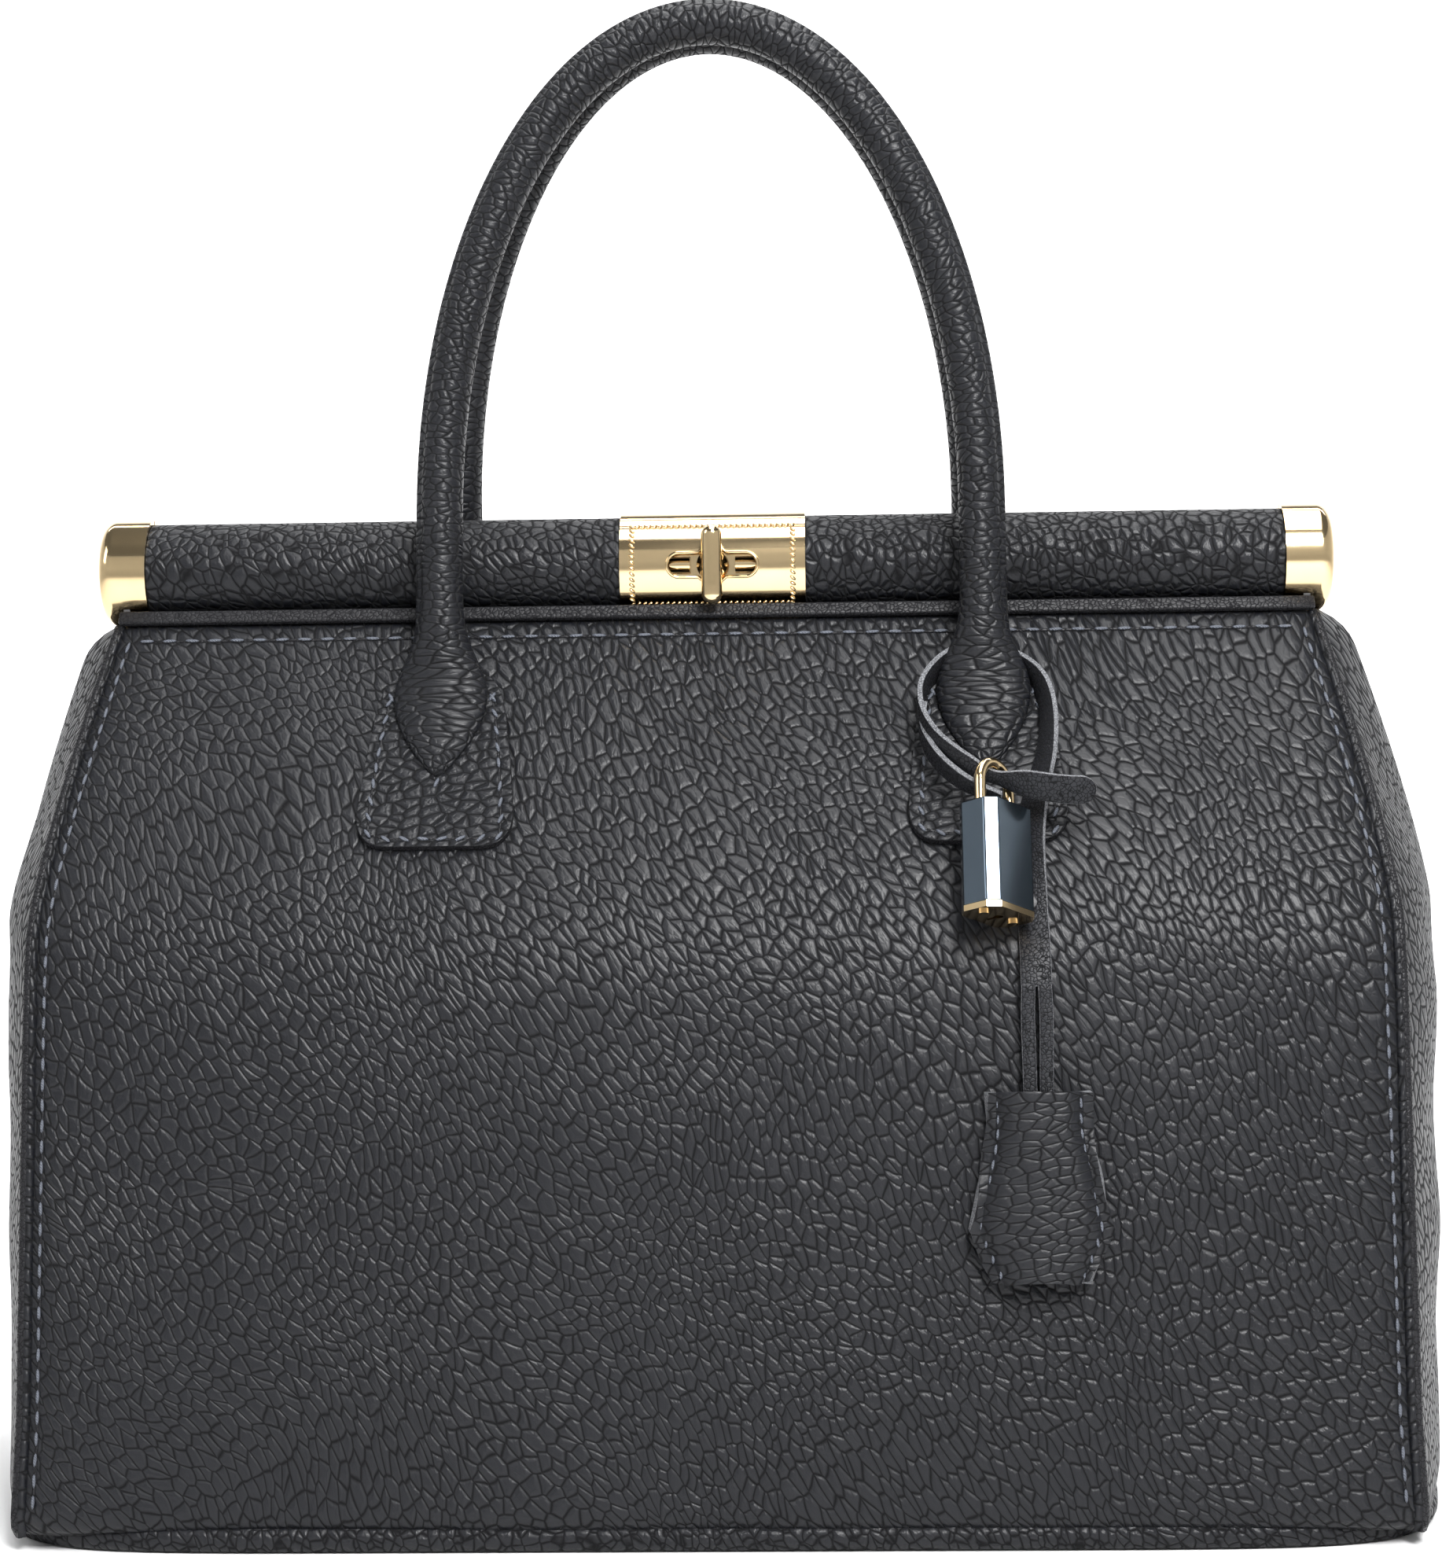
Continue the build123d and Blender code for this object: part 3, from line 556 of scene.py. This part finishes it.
# sides: how far out they stand at the middle, and how they fold in towards the top
sideSet = {
    "around": 34, "up": 96, "wall": 0.0018, "clear": 0.0008,
    "inset": 0.0005, "bend": 0.14, "footDraw": 0.002, "topDraw": 0.0195, "topOver": 0.066, "topCurve": 1.25,
    "tip": 0.2, "tipDraw": 0.006, "tipOver": 0.0105,
    "foldFrom": 0.12, "foldOver": 0.05, "crumple": 0.0012, "foot": 0.012, "footShare": 0.25,
}
weltSet = {"top": 0.2095, "points": 90, "radius": 0.0013, "out": 0.0006, "back": 0.0002}


def foldReach(z):
    s = sideSet
    reach = gussetHalf - s["inset"]
    if z < s["bend"]:
        return reach - s["footDraw"] * ((s["bend"] - z) / s["bend"])
    reach -= s["topDraw"] * ((z - s["bend"]) / s["topOver"]) ** s["topCurve"]
    if z > s["tip"]:
        reach -= s["tipDraw"] * ((z - s["tip"]) / s["tipOver"]) ** 3
    return reach


# q runs from the fold in the middle to the seam at the panel
def sidePoint(face, hand, q, z):
    s = sideSet
    depth = wallDepth(z) - s["clear"]
    if z < shape["rollHeight"]:
        depth -= shape["rollDepth"] * 0.6 * (shape["rollHeight"] - z) / shape["rollHeight"]
    near, far = halfWidth(z), foldReach(z)
    folded = min(1.0, max(0.0, (z - s["foldFrom"]) / s["foldOver"]))
    share = (1 - q ** 2) * (1 - folded) + (1 - q) ** 0.8 * folded
    if z < s["foot"]:
        share *= 1 - s["footShare"] * ((s["foot"] - z) / s["foot"]) ** 2
    wave = noise.noise(Vector((hand * 5.0, q * 1.6 * face, z * 38)))
    out = near + (far - near) * share + s["crumple"] * wave * math.sin(math.pi * q)
    return Vector((hand * out, face * depth * q, z))


for half, face in faces:
    for side, hand in hands:
        bm = bmesh.new()
        bmesh.ops.create_grid(bm, x_segments=sideSet["around"], y_segments=sideSet["up"], size=1)
        for v in bm.verts:
            v.co = sidePoint(face, hand, (v.co.x + 1) / 2, sheetHeight(v))
        gusset = makePiece(half + side.capitalize() + "Side", bm, [sideLeather, liningLook])
        faceTowards(gusset, (hand, 0, 0), len(gusset.data.polygons) // 2)
        thicken(gusset, sideSet["wall"], offset=-1, inner=1)
        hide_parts(half + "_" + side + "_wing", side + "_gusset")
        followFrame(gusset)

        line = []
        for k in range(weltSet["points"]):
            z = panelSet["low"] + (weltSet["top"] - panelSet["low"]) * k / (weltSet["points"] - 1)
            p = panelPoint(face, hand * halfWidth(z), z)
            line.append(p + Vector((hand * weltSet["out"], -face * weltSet["back"], 0)))
        welt = tube(half + side.capitalize() + "Welt", line, weltSet["radius"], [edgeLeather])
        followFrame(welt)
print("sides made")

# top lip with its stitches
lipSet = {"low": 0.2098, "high": 0.2128, "wall": 0.0018, "past": 0.0005, "lift": 0.0004,
          "stitchHeight": 0.2063, "stitchInset": 0.004, "stitchLift": 0.0005, "pitch": 0.0055}
for half, face in faces:
    bm = bmesh.new()
    bmesh.ops.create_grid(bm, x_segments=90, y_segments=4, size=1)
    for v in bm.verts:
        z = lipSet["low"] + (lipSet["high"] - lipSet["low"]) * (v.co.y + 1) / 2
        v.co = panelPoint(face, v.co.x * (panelTopHalf + lipSet["past"]), z, lipSet["lift"])
    lip = makePiece(half + "Lip", bm, [edgeLeather])
    faceTowards(lip, (0, face, 0))
    thicken(lip, lipSet["wall"], offset=1)
    bevelEdges(lip, 0.0006, 3)
    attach(lip, half + "_frame")
    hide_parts(half + "_lip")
    places = []
    count = int(2 * (panelTopHalf - lipSet["stitchInset"]) / lipSet["pitch"])
    for k in range(count):
        x = (k - (count - 1) / 2) * lipSet["pitch"]
        z = lipSet["stitchHeight"]
        here = panelPoint(face, x, z, lipSet["stitchLift"])
        places.append((here, Vector((1, 0, 0)), panelNormal(face, x, z)))
    for piece in sewnRow(half + "Lip", places, threadSet["lip"]):
        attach(piece, half + "_frame")
print("lips made")

# patches under the handles; the point is the stitched V that each handle's flare ends in
patchSet = {
    "top": 0.1965, "bottom": 0.1568, "topWide": 0.0275, "bottomWide": 0.0375, "taper": 1.6, "corner": 0.11,
    "wall": 0.0019, "bevel": 0.0008, "lift": 0.0002, "press": 0.0003,
    "lean": 0.55, "proud": 0.0004, "pitch": 0.0042, "steps": 240, "rowAcross": 0.845, "rowUp": 0.86,
    "pointHalf": 0.0121, "pointLow": 0.1722, "pointRise": 0.0198, "pointCurve": 0.9,
}
patchTop = patchSet["wall"] / math.cos(patchSet["lean"]) + patchSet["proud"]


# x and height of a patch's point, with its corners pulled round
def patchPlace(middle, u, v):
    uu = u * (1 - patchSet["corner"] * abs(v) ** 9)
    vv = v * (1 - patchSet["corner"] * abs(u) ** 9)
    t = (vv + 1) / 2
    wide = patchSet["bottomWide"] + (patchSet["topWide"] - patchSet["bottomWide"]) * t ** patchSet["taper"]
    return middle + uu * wide / 2, patchSet["bottom"] + (patchSet["top"] - patchSet["bottom"]) * t


# stitches round a patch, set in from its edge
def patchPlaces(face, middle):
    places = []
    for k in range(patchSet["steps"]):
        a = 2 * math.pi * k / patchSet["steps"]
        c, sn = math.cos(a), math.sin(a)
        square = max(abs(c), abs(sn))
        u, v = c / square * patchSet["rowAcross"], sn / square * patchSet["rowUp"]
        x, z = patchPlace(middle, u, v)
        here = panelPoint(face, x, z, patchTop)
        if not places or (here - places[-1][0]).length > patchSet["pitch"]:
            nextX, nextZ = patchPlace(middle, u * 0.999 - v * 0.02, v * 0.999 + u * 0.02)
            along = panelPoint(face, nextX, nextZ, patchTop) - here
            places.append((here, along, panelNormal(face, x, z)))
    if (places[0][0] - places[-1][0]).length < patchSet["pitch"] * 0.6:
        places.pop()
    return places


def pointHeight(x, middle):
    share = abs(x - middle) / patchSet["pointHalf"]
    return patchSet["pointLow"] + patchSet["pointRise"] * share ** patchSet["pointCurve"]


def pointPlaces(face, middle, count=5, step=0.0005):
    places = []
    for k in range(-count, count + 1):
        x = middle + k / count * patchSet["pointHalf"]
        z = pointHeight(x, middle)
        here = panelPoint(face, x, z, patchTop)
        along = panelPoint(face, x + step, pointHeight(x + step, middle), patchTop) - here
        places.append((here, along, panelNormal(face, x, z)))
    return places


for half, face in faces:
    for side, hand in hands:
        middle = hand * legReach
        bm = bmesh.new()
        bmesh.ops.create_grid(bm, x_segments=40, y_segments=40, size=1)
        for v in bm.verts:
            rim = 1 - max(abs(v.co.x), abs(v.co.y))
            pressed = patchSet["press"] * math.exp(-((rim - 0.14) / 0.04) ** 2)
            x, z = patchPlace(middle, v.co.x, v.co.y)
            v.co = panelPoint(face, x, z, patchSet["lift"] - pressed)
        patch = makePiece(half + side.capitalize() + "Patch", bm, [patchLeather, edgeLeather])
        faceTowards(patch, (0, face, 0))
        wall = thicken(patch, patchSet["wall"], offset=1)
        wall.material_offset_rim = 1
        bevelEdges(patch, patchSet["bevel"], 3)
        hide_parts(half + "_" + side + "_patch")
        followFrame(patch)
        name = half + side.capitalize()
        edge = sewnRow(name + "Patch", patchPlaces(face, middle), threadSet["patch"], close=True)
        point = sewnRow(name + "Point", pointPlaces(face, middle), threadSet["patch"])
        for piece in (*edge, *point):
            followFrame(piece)
print("patches made")

# rolled handles with flared ends
handleSet = {
    "around": 32, "ridge": 0.0009, "ridgeWide": 0.0058, "ridgeThick": 0.005,
    # flared end: height, depth of the middle, half width, half thickness
    "flare": [
        (0.1735, 0.0386, 0.0009, 0.0008), (0.1775, 0.0362, 0.0046, 0.0016),
        (0.1815, 0.0337, 0.0078, 0.0024), (0.1860, 0.0310, 0.0102, 0.0031),
        (0.1905, 0.0285, 0.0113, 0.0037), (0.1945, 0.0266, 0.0112, 0.0042),
        (0.1985, 0.0255, 0.0098, 0.0046), (0.2025, 0.0252, 0.0078, 0.0049),
        (0.2065, 0.0250, 0.0063, 0.0052), (0.2110, 0.0246, 0.0054, 0.00525),
    ],
    "leg": (0.217, 0.223, 0.229), "archSteps": 48,
    "archFoot": 0.236, "footDepth": 0.0255, "footHeight": 0.204, "topDepth": 0.006, "topHeight": 0.354,
}


# middle line of a handle, with its half width and half thickness
def handleLine(face):
    s = handleSet
    rows = []
    for z, depth, wide, thick in s["flare"]:
        rows.append((Vector((-legReach, face * depth, z)), wide, thick))
    lean = (s["footDepth"] - s["topDepth"]) / (s["topHeight"] - s["footHeight"])

    def addRound(x, z):
        depth = s["footDepth"] - lean * (z - s["footHeight"])
        rows.append((Vector((x, face * depth, z)), handleRadius, handleRadius))

    for z in s["leg"]:
        addRound(-legReach, z)
    end = list(rows)
    for k in range(s["archSteps"] + 1):
        a = math.pi * k / s["archSteps"]
        addRound(-legReach * math.cos(a), s["archFoot"] + (s["topHeight"] - s["archFoot"]) * math.sin(a))
    for point, wide, thick in reversed(end):
        rows.append((Vector((-point.x, point.y, point.z)), wide, thick))
    return rows


# the sewn seam along a handle: a ridge with a groove on each side
def seamRidge(a):
    near = math.atan2(math.sin(a), math.cos(a))
    groove = math.exp(-((abs(near) - 0.42) / 0.12) ** 2)
    return handleSet["ridge"] / handleRadius * (math.exp(-(near / 0.2) ** 2) - 0.6 * groove)


for half, face in faces:
    rows = handleLine(face)
    rings, lengths = [], []
    outward = Vector((0, face, 0))
    length = 0
    for i, (p, wide, thick) in enumerate(rows):
        before, after = rows[max(i - 1, 0)][0], rows[min(i + 1, len(rows) - 1)][0]
        along = (after - before).normalized()
        outer = (outward - along * outward.dot(along)).normalized()
        side = along.cross(outer).normalized() * face
        length += (p - before).length
        lengths.append(length)
        ring = []
        for k in range(handleSet["around"]):
            a = 2 * math.pi * k / handleSet["around"]
            grow = 1.0
            if wide < handleSet["ridgeWide"] and thick > handleSet["ridgeThick"]:
                grow += seamRidge(a)
            ring.append(p + side * (wide * grow * math.cos(a)) + outer * (thick * grow * math.sin(a)))
        rings.append(ring)
    bm = loftRings(bmesh.new(), rings)
    handle = makePiece(half + "RolledHandle", bm, [handleLeather])
    uv = handle.data.uv_layers.new(name="UVMap")
    for loop in handle.data.loops:
        index = loop.vertex_index
        ringAt = min(index // handleSet["around"], len(lengths) - 1)
        uv.data[loop.index].uv = (lengths[ringAt], (index % handleSet["around"]) * 0.001)
    finer = handle.modifiers.new("smooth", "SUBSURF")
    finer.levels = 1
    finer.render_levels = 1
    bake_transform(handle)
    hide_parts(half + "_handle", half + "_handle_sockets", half + "_handle_core")
print("handles made")

# base
baseLow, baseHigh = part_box("base_welt")
baseSet = {
    "square": 9.0, "around": 200, "past": 0.0035, "endBulge": 0.0105, "tuck": 0.0015,
    # inset and height
    "rings": [(0.0024, 0.0), (0.0007, 0.0006), (0.0, 0.0022),
              (0.0, 0.0040), (0.0007, 0.0054), (0.0028, 0.0062)],
}
rings = []
for inset, z in baseSet["rings"]:
    ring = []
    for k in range(baseSet["around"]):
        a = 2 * math.pi * k / baseSet["around"]
        c, sn = math.cos(a), math.sin(a)
        along = math.copysign(abs(c) ** (2 / baseSet["square"]), c)
        across = math.copysign(abs(sn) ** (2 / baseSet["square"]), sn)
        reach = panelHalf + baseSet["past"] + baseSet["endBulge"] * (1 - across ** 2) - inset
        ring.append(Vector((along * reach, across * (baseHigh.y - baseSet["tuck"] - inset), z)))
    rings.append(ring)
bm = loftRings(bmesh.new(), rings)
base = makePiece("baseCover", bm, [barLeather])
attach(base, "bag_body")
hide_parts("base_panel", "base_welt", "base_board")
print("base made")

# turn lock
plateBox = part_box("front_lock_plate")
plateRadius = plateBox[1].z - barHeight
lockSet = {
    "borderWide": 0.0195, "borderTall": 0.0104, "beadPitch": 0.00135,
    "bead": (0.0018, 0.00085, 0.0011), "beadLift": 0.00005, "beadSlant": 0.95,
    "slotHalf": 0.011, "slotTall": 0.003, "slotEye": 0.0045, "rim": 0.00042,
}


# a point on the round lock plate, and the way out from it
def onPlate(x, arc, lift=0.0):
    a = arc / plateRadius
    r = plateRadius + lift
    return Vector((x, -r * math.cos(a), barHeight + r * math.sin(a))), Vector((0, -math.cos(a), math.sin(a)))


# twisted rope round the plate's face
def ropeBorder():
    w, h = lockSet["borderWide"], lockSet["borderTall"]
    corners = [(-w, -h), (w, -h), (w, h), (-w, h)]
    places = []
    for i in range(4):
        (x1, arc1), (x2, arc2) = corners[i], corners[(i + 1) % 4]
        count = int(math.hypot(x2 - x1, arc2 - arc1) / lockSet["beadPitch"])
        for k in range(count):
            t, ahead = k / count, k / count + 0.01
            here, out = onPlate(x1 + (x2 - x1) * t, arc1 + (arc2 - arc1) * t, lockSet["beadLift"])
            there, _ = onPlate(x1 + (x2 - x1) * ahead, arc1 + (arc2 - arc1) * ahead, lockSet["beadLift"])
            places.append((here, there - here, out))
    return stitchRow("lockRopeBorder", places, gold, lockSet["bead"], slant=lockSet["beadSlant"])


# outline of the slot: a round end and half the eye, then the same turned about
def slotOutline():
    half, tall, eye = lockSet["slotHalf"], lockSet["slotTall"], lockSet["slotEye"]
    meet = math.acos(math.sqrt(eye ** 2 - tall ** 2) / eye)
    outline = []
    for k in range(17):
        a = -math.pi / 2 + math.pi * k / 16
        outline.append((half - tall + tall * math.cos(a), tall * math.sin(a)))
    for k in range(13):
        a = meet + (math.pi - 2 * meet) * k / 12
        outline.append((eye * math.cos(a), eye * math.sin(a)))
    return outline + [(-x, -arc) for x, arc in outline]


rope = ropeBorder()
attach(rope, "front_frame")
rimLine = [onPlate(x, arc)[0] for x, arc in slotOutline()]
rim = tube("lockSlotRim", rimLine, lockSet["rim"], [gold], 10, close=True)
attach(rim, "front_frame")

knobLow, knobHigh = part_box("turn_knob")
knobHeight = (knobLow.z + knobHigh.z) / 2
knobSet = {"halfWide": 0.0025, "halfTall": 0.0095, "halfDeep": 0.0020,
           "neck": 0.0031, "neckDepth": 0.0032, "neckBack": 0.0014}
bm = bmesh.new()
bmesh.ops.create_uvsphere(bm, u_segments=40, v_segments=28, radius=1)
for v in bm.verts:
    x, y, z = v.co
    straight = 0 if abs(z) < 0.01 else math.copysign(knobSet["halfTall"] - knobSet["halfWide"], z)
    v.co = Vector((x * knobSet["halfWide"], knobLow.y + knobSet["halfDeep"] * (1 + y),
                   knobHeight + straight + z * knobSet["halfWide"]))
neckPlace = Matrix.Translation((0, knobHigh.y - knobSet["neckBack"], knobHeight))
bmesh.ops.create_cone(bm, cap_ends=True, segments=32, radius1=knobSet["neck"] * 1.25,
                      radius2=knobSet["neck"] * 0.75, depth=knobSet["neckDepth"],
                      matrix=neckPlace @ Matrix.Rotation(math.pi / 2, 4, "X"))
knob = makePiece("turnKnob", bm, [gold])
bevelEdges(knob, 0.0003, 3)
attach(knob, "turn_knob")
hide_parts("turn_knob")
print("turn lock made")

# charm: a flat strap looped round the handle, its second layer, and a long strap down to the bell
charmSet = {
    "thick": 0.0014, "loopWide": 0.0066, "secondWide": 0.0062, "strapWide": 0.0070, "stripWide": 0.0031,
    "pinch": 0.52, "pinchAt": 0.728, "pinchOver": 0.06, "roundFrom": 0.96, "roundOver": 0.04,
}
strapLooks = [strapLeather, rawEdge]
strapX = 0.074
normalUp = Vector((0, -0.66, 0.75))
tailUp = Vector((0, -0.2, 1))
acrossX = Vector((1, 0, 0))
loopLine = [
    (0.0700, -0.0215, 0.2000), (0.0645, -0.0193, 0.2012), (0.0560, -0.0228, 0.1990),
    (0.0502, -0.0300, 0.1932), (0.0493, -0.0370, 0.1872), (0.0520, -0.0435, 0.1812),
    (0.0570, -0.0482, 0.1765), (0.0625, -0.0511, 0.1736), (0.0668, -0.0521, 0.1722),
    (0.0722, -0.0531, 0.1711), (0.0790, -0.0538, 0.1699), (0.0850, -0.0535, 0.1694),
    (0.0887, -0.0530, 0.1699),
]
secondLine = [(x + 0.0003, y - 0.0010, z - 0.0042) for x, y, z in loopLine[3:9]]
strapLine = [
    (0.0610, -0.0205, 0.1998), (0.0675, -0.0205, 0.2002), (0.0735, -0.0232, 0.1978),
    (0.0778, -0.0285, 0.1935), (0.0792, -0.0352, 0.1868), (0.0782, -0.0412, 0.1775),
    (0.0755, -0.0452, 0.1680), (strapX, -0.0478, 0.1580), (strapX, -0.0531, 0.1430),
    (strapX, -0.0610, 0.1325), (strapX, -0.0640, 0.1255),
]
strapTurn = [normalUp] * 4 + [Vector((0.3, -0.5, 0.5)), Vector((0.8, -0.3, 0.25)), Vector((1, -0.1, 0))]
# distance from the middle, depth and height of the two strips that the strap is slit into
stripLine = [(0.00185, -0.0640, 0.1260), (0.0021, -0.0652, 0.1180),
             (0.0019, -0.0670, 0.1060), (0.0018, -0.0686, 0.0955)]


# the loop is pinched where it goes through the shackle, and its end is round
def loopWidth(t):
    s = charmSet
    if t < s["roundFrom"]:
        return 1 - s["pinch"] * math.exp(-((t - s["pinchAt"]) / s["pinchOver"]) ** 2)
    return math.sqrt(max(0.03, 1 - ((t - s["roundFrom"]) / s["roundOver"]) ** 2))


def secondWidth(t):
    return min(1.0, 0.35 + 1.5 * t) * (1 - 0.6 * t ** 4)


loop = ribbon("charmLoop", loopLine, [normalUp] * 9 + [tailUp] * 4, charmSet["loopWide"],
              charmSet["thick"], strapLooks, 100, taper=loopWidth)
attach(loop, "charm")
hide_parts("charm_loop", "charm_tail")
second = ribbon("charmLoopSecond", secondLine, [normalUp] * 6, charmSet["secondWide"],
                charmSet["thick"], strapLooks, 40, taper=secondWidth)
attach(second, "charm")
strap = ribbon("charmStrap", strapLine, strapTurn + [acrossX] * 4, charmSet["strapWide"],
               charmSet["thick"], strapLooks, 72)
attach(strap, "charm")
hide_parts("charm_strap")
for side, hand in hands:
    points = [(strapX + hand * apart, y, z) for apart, y, z in stripLine]
    strip = ribbon("charmStrip" + side.capitalize(), points, [acrossX] * 4, charmSet["stripWide"],
                   charmSet["thick"], strapLooks, 24)
    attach(strip, "charm")

# key bell
bellMiddle = Vector((strapX, -0.0710, 0.081))
bellUp = Vector((0, 0.154, 0.988)).normalized()
bellOut = Vector((0, -0.988, 0.154)).normalized()
bellSet = {
    "half": 0.0213, "puff": 0.0032, "seam": 0.0034, "wall": 0.0013, "clear": 0.00015, "wave": 0.0011,
    "shoulder": -0.44, "wide": 0.0163, "mouthDraw": 0.0046, "waist": 0.0011, "footDraw": 0.0056,
    "stitches": 12, "stitchLow": -0.9, "stitchRun": 1.78, "stitchInset": 0.0026, "stitchLift": 0.0018,
}


# half width at v, -1 at the foot and 1 at the mouth
def bellHalfWide(v):
    s = bellSet
    if v > s["shoulder"]:
        t = (v - s["shoulder"]) / (1 - s["shoulder"])
        wide = s["wide"] - s["mouthDraw"] * t - s["waist"] * math.sin(math.pi * t)
    else:
        wide = s["wide"] - s["footDraw"] * (s["shoulder"] - v) / (1 + s["shoulder"])
    return wide + 0.0002 * math.sin(v * 7 + 0.6)


for name, out in (("bellFront", 1), ("bellBack", -1)):
    bm = bmesh.new()
    bmesh.ops.create_grid(bm, x_segments=44, y_segments=50, size=1)
    for v in bm.verts:
        u, t = v.co.x, v.co.y
        wide = bellHalfWide(t)
        inner = min(1.0, max(0.0, (wide - abs(u) * wide) / bellSet["seam"] - 0.8))
        puff = bellSet["puff"] * (1 - (1 - min(1, inner)) ** 2) * (0.75 + 0.25 * math.cos(u * 2.4))
        wave = bellSet["wave"] * math.sin(t * 5 + (1 if u > 0 else 2.6)) * abs(u) ** 4
        lift = out * (bellSet["clear"] + puff) + wave
        v.co = bellMiddle + Vector((u * wide, 0, 0)) + bellUp * (t * bellSet["half"]) + bellOut * lift
    bell = makePiece(name, bm, [bellLeather, rawEdge])
    faceTowards(bell, bellOut * out)
    wall = thicken(bell, bellSet["wall"], offset=1)
    wall.material_offset_rim = 1
    bevelEdges(bell, 0.0003, 2)
    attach(bell, "key_bell")
    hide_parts("bell_front" if out > 0 else "bell_back")
places = []
for side, hand in hands:
    for k in range(bellSet["stitches"]):
        t = bellSet["stitchLow"] + bellSet["stitchRun"] * k / (bellSet["stitches"] - 1)
        across = Vector((hand * (bellHalfWide(t) - bellSet["stitchInset"]), 0, 0))
        here = bellMiddle + across + bellUp * (t * bellSet["half"]) + bellOut * bellSet["stitchLift"]
        places.append((here, bellUp + Vector((-hand * 0.12, 0, 0)), bellOut))
row = stitchRow("bellStitches", places, threadLook, threadSet["bell"])
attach(row, "key_bell")

# padlock body: the CAD faces with their edges rounded
bodyMesh = bmesh.new()
bodyMesh.from_mesh(nodes["padlock_body"].data)
bmesh.ops.remove_doubles(bodyMesh, verts=bodyMesh.verts, dist=0.000002)
bmesh.ops.dissolve_limit(bodyMesh, angle_limit=math.radians(2), verts=bodyMesh.verts, edges=bodyMesh.edges)
lock = makePiece("padlockBody", bodyMesh, [darkChrome], smooth=False)
bevelEdges(lock, 0.0004, 3)
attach(lock, "padlock")
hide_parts("padlock_body")
print("charm made")

# finishes on the CAD pieces
looks = {
    "gold": gold, "steel": steel, "key_steel": steel, "dark_chrome": darkChrome,
    "board": boardLook, "cord_core": boardLook, "zip_tape": threadLook,
    "lining_fabric": liningLook, "black_leather": barLeather,
}
slots = {entry["node"]: entry["material_slot"] for entry in frame["record"]["subparts"]}
for name, node in nodes.items():
    look = looks[slots[name]]
    if node.material_slots:
        for place in node.material_slots:
            place.material = look
    else:
        node.data.materials.append(look)
print("finishes set")

# floor: a wide round dish
floorLook, floorTree, floorShader = blankMaterial("floorLook")
floorShader.inputs["Base Color"].default_value = (0.86, 0.86, 0.86, 1)
floorShader.inputs["Roughness"].default_value = 0.7
floorSet = {"around": 96, "eye": 0.02, "flat": 2.2, "bend": 0.9, "wall": 2.5}
profile = [(floorSet["eye"], 0), (0.6, 0), (1.4, 0), (floorSet["flat"], 0)]
for k in range(1, 13):
    a = math.pi / 2 * k / 12
    profile.append((floorSet["flat"] + floorSet["bend"] * math.sin(a), floorSet["bend"] * (1 - math.cos(a))))
profile.append((floorSet["flat"] + floorSet["bend"], floorSet["wall"]))
turns = [2 * math.pi * k / floorSet["around"] for k in range(floorSet["around"])]
rings = [[Vector((reach * math.cos(a), reach * math.sin(a), z)) for a in turns] for reach, z in profile]
bm = loftRings(bmesh.new(), rings, caps=False)
eye = [e for e in bm.edges if all(v.co.length < floorSet["eye"] * 1.5 for v in e.verts)]
bmesh.ops.edgeloop_fill(bm, edges=eye)
floor = makePiece("floor", bm, [floorLook])
faceTowards(floor, (0, 0, 1))

# lights: place, aim, width and height, power
lightSet = {
    "keyLight": ((0.32, -0.98, 0.98), (0.10, 0, 0.15), (0.34, 0.5), 30),
    "fillLight": ((-1.3, -0.7, 1.1), (0, 0, 0.15), (0.6, 0.8), 5),
    "topLight": ((0.1, 0.0, 1.5), (0, 0, 0.1), (1.4, 0.8), 22),
    "backLight": ((0.0, 1.1, 1.7), (0, 2.6, 0.3), (2.4, 0.8), 80),
}


def softLight(name, place, aim, size, power):
    data = bpy.data.lights.new(name, "AREA")
    data.shape = "RECTANGLE"
    data.size, data.size_y = size
    data.energy = power
    lamp = bpy.data.objects.new(name, data)
    bpy.context.scene.collection.objects.link(lamp)
    lamp.location = place
    lamp.rotation_euler = (Vector(aim) - Vector(place)).to_track_quat("-Z", "Y").to_euler()


for name, (place, aim, size, power) in lightSet.items():
    softLight(name, place, aim, size, power)

world = bpy.data.worlds.new("studio")
bpy.context.scene.world = world
world.use_nodes = True
background = world.node_tree.nodes["Background"]
background.inputs["Color"].default_value = (0.95, 0.97, 1.0, 1)
background.inputs["Strength"].default_value = 0.16

# camera
cameraSet = {"place": (0.0279, -0.7742, 0.2043), "yaw": 1.89, "pitch": -2.59, "roll": -0.78, "lens": 72.2}
cameraData = bpy.data.cameras.new("camera")
cameraData.lens = cameraSet["lens"]
cameraData.sensor_width = 36
camera = bpy.data.objects.new("camera", cameraData)
bpy.context.scene.collection.objects.link(camera)
camera.location = cameraSet["place"]
camera.rotation_euler = (
    Matrix.Rotation(math.radians(cameraSet["yaw"]), 3, "Z")
    @ Matrix.Rotation(math.radians(90 + cameraSet["pitch"]), 3, "X")
    @ Matrix.Rotation(math.radians(cameraSet["roll"]), 3, "Z")
).to_euler()
bpy.context.scene.camera = camera
bpy.context.scene.view_settings.view_transform = "Standard"
print("studio made")
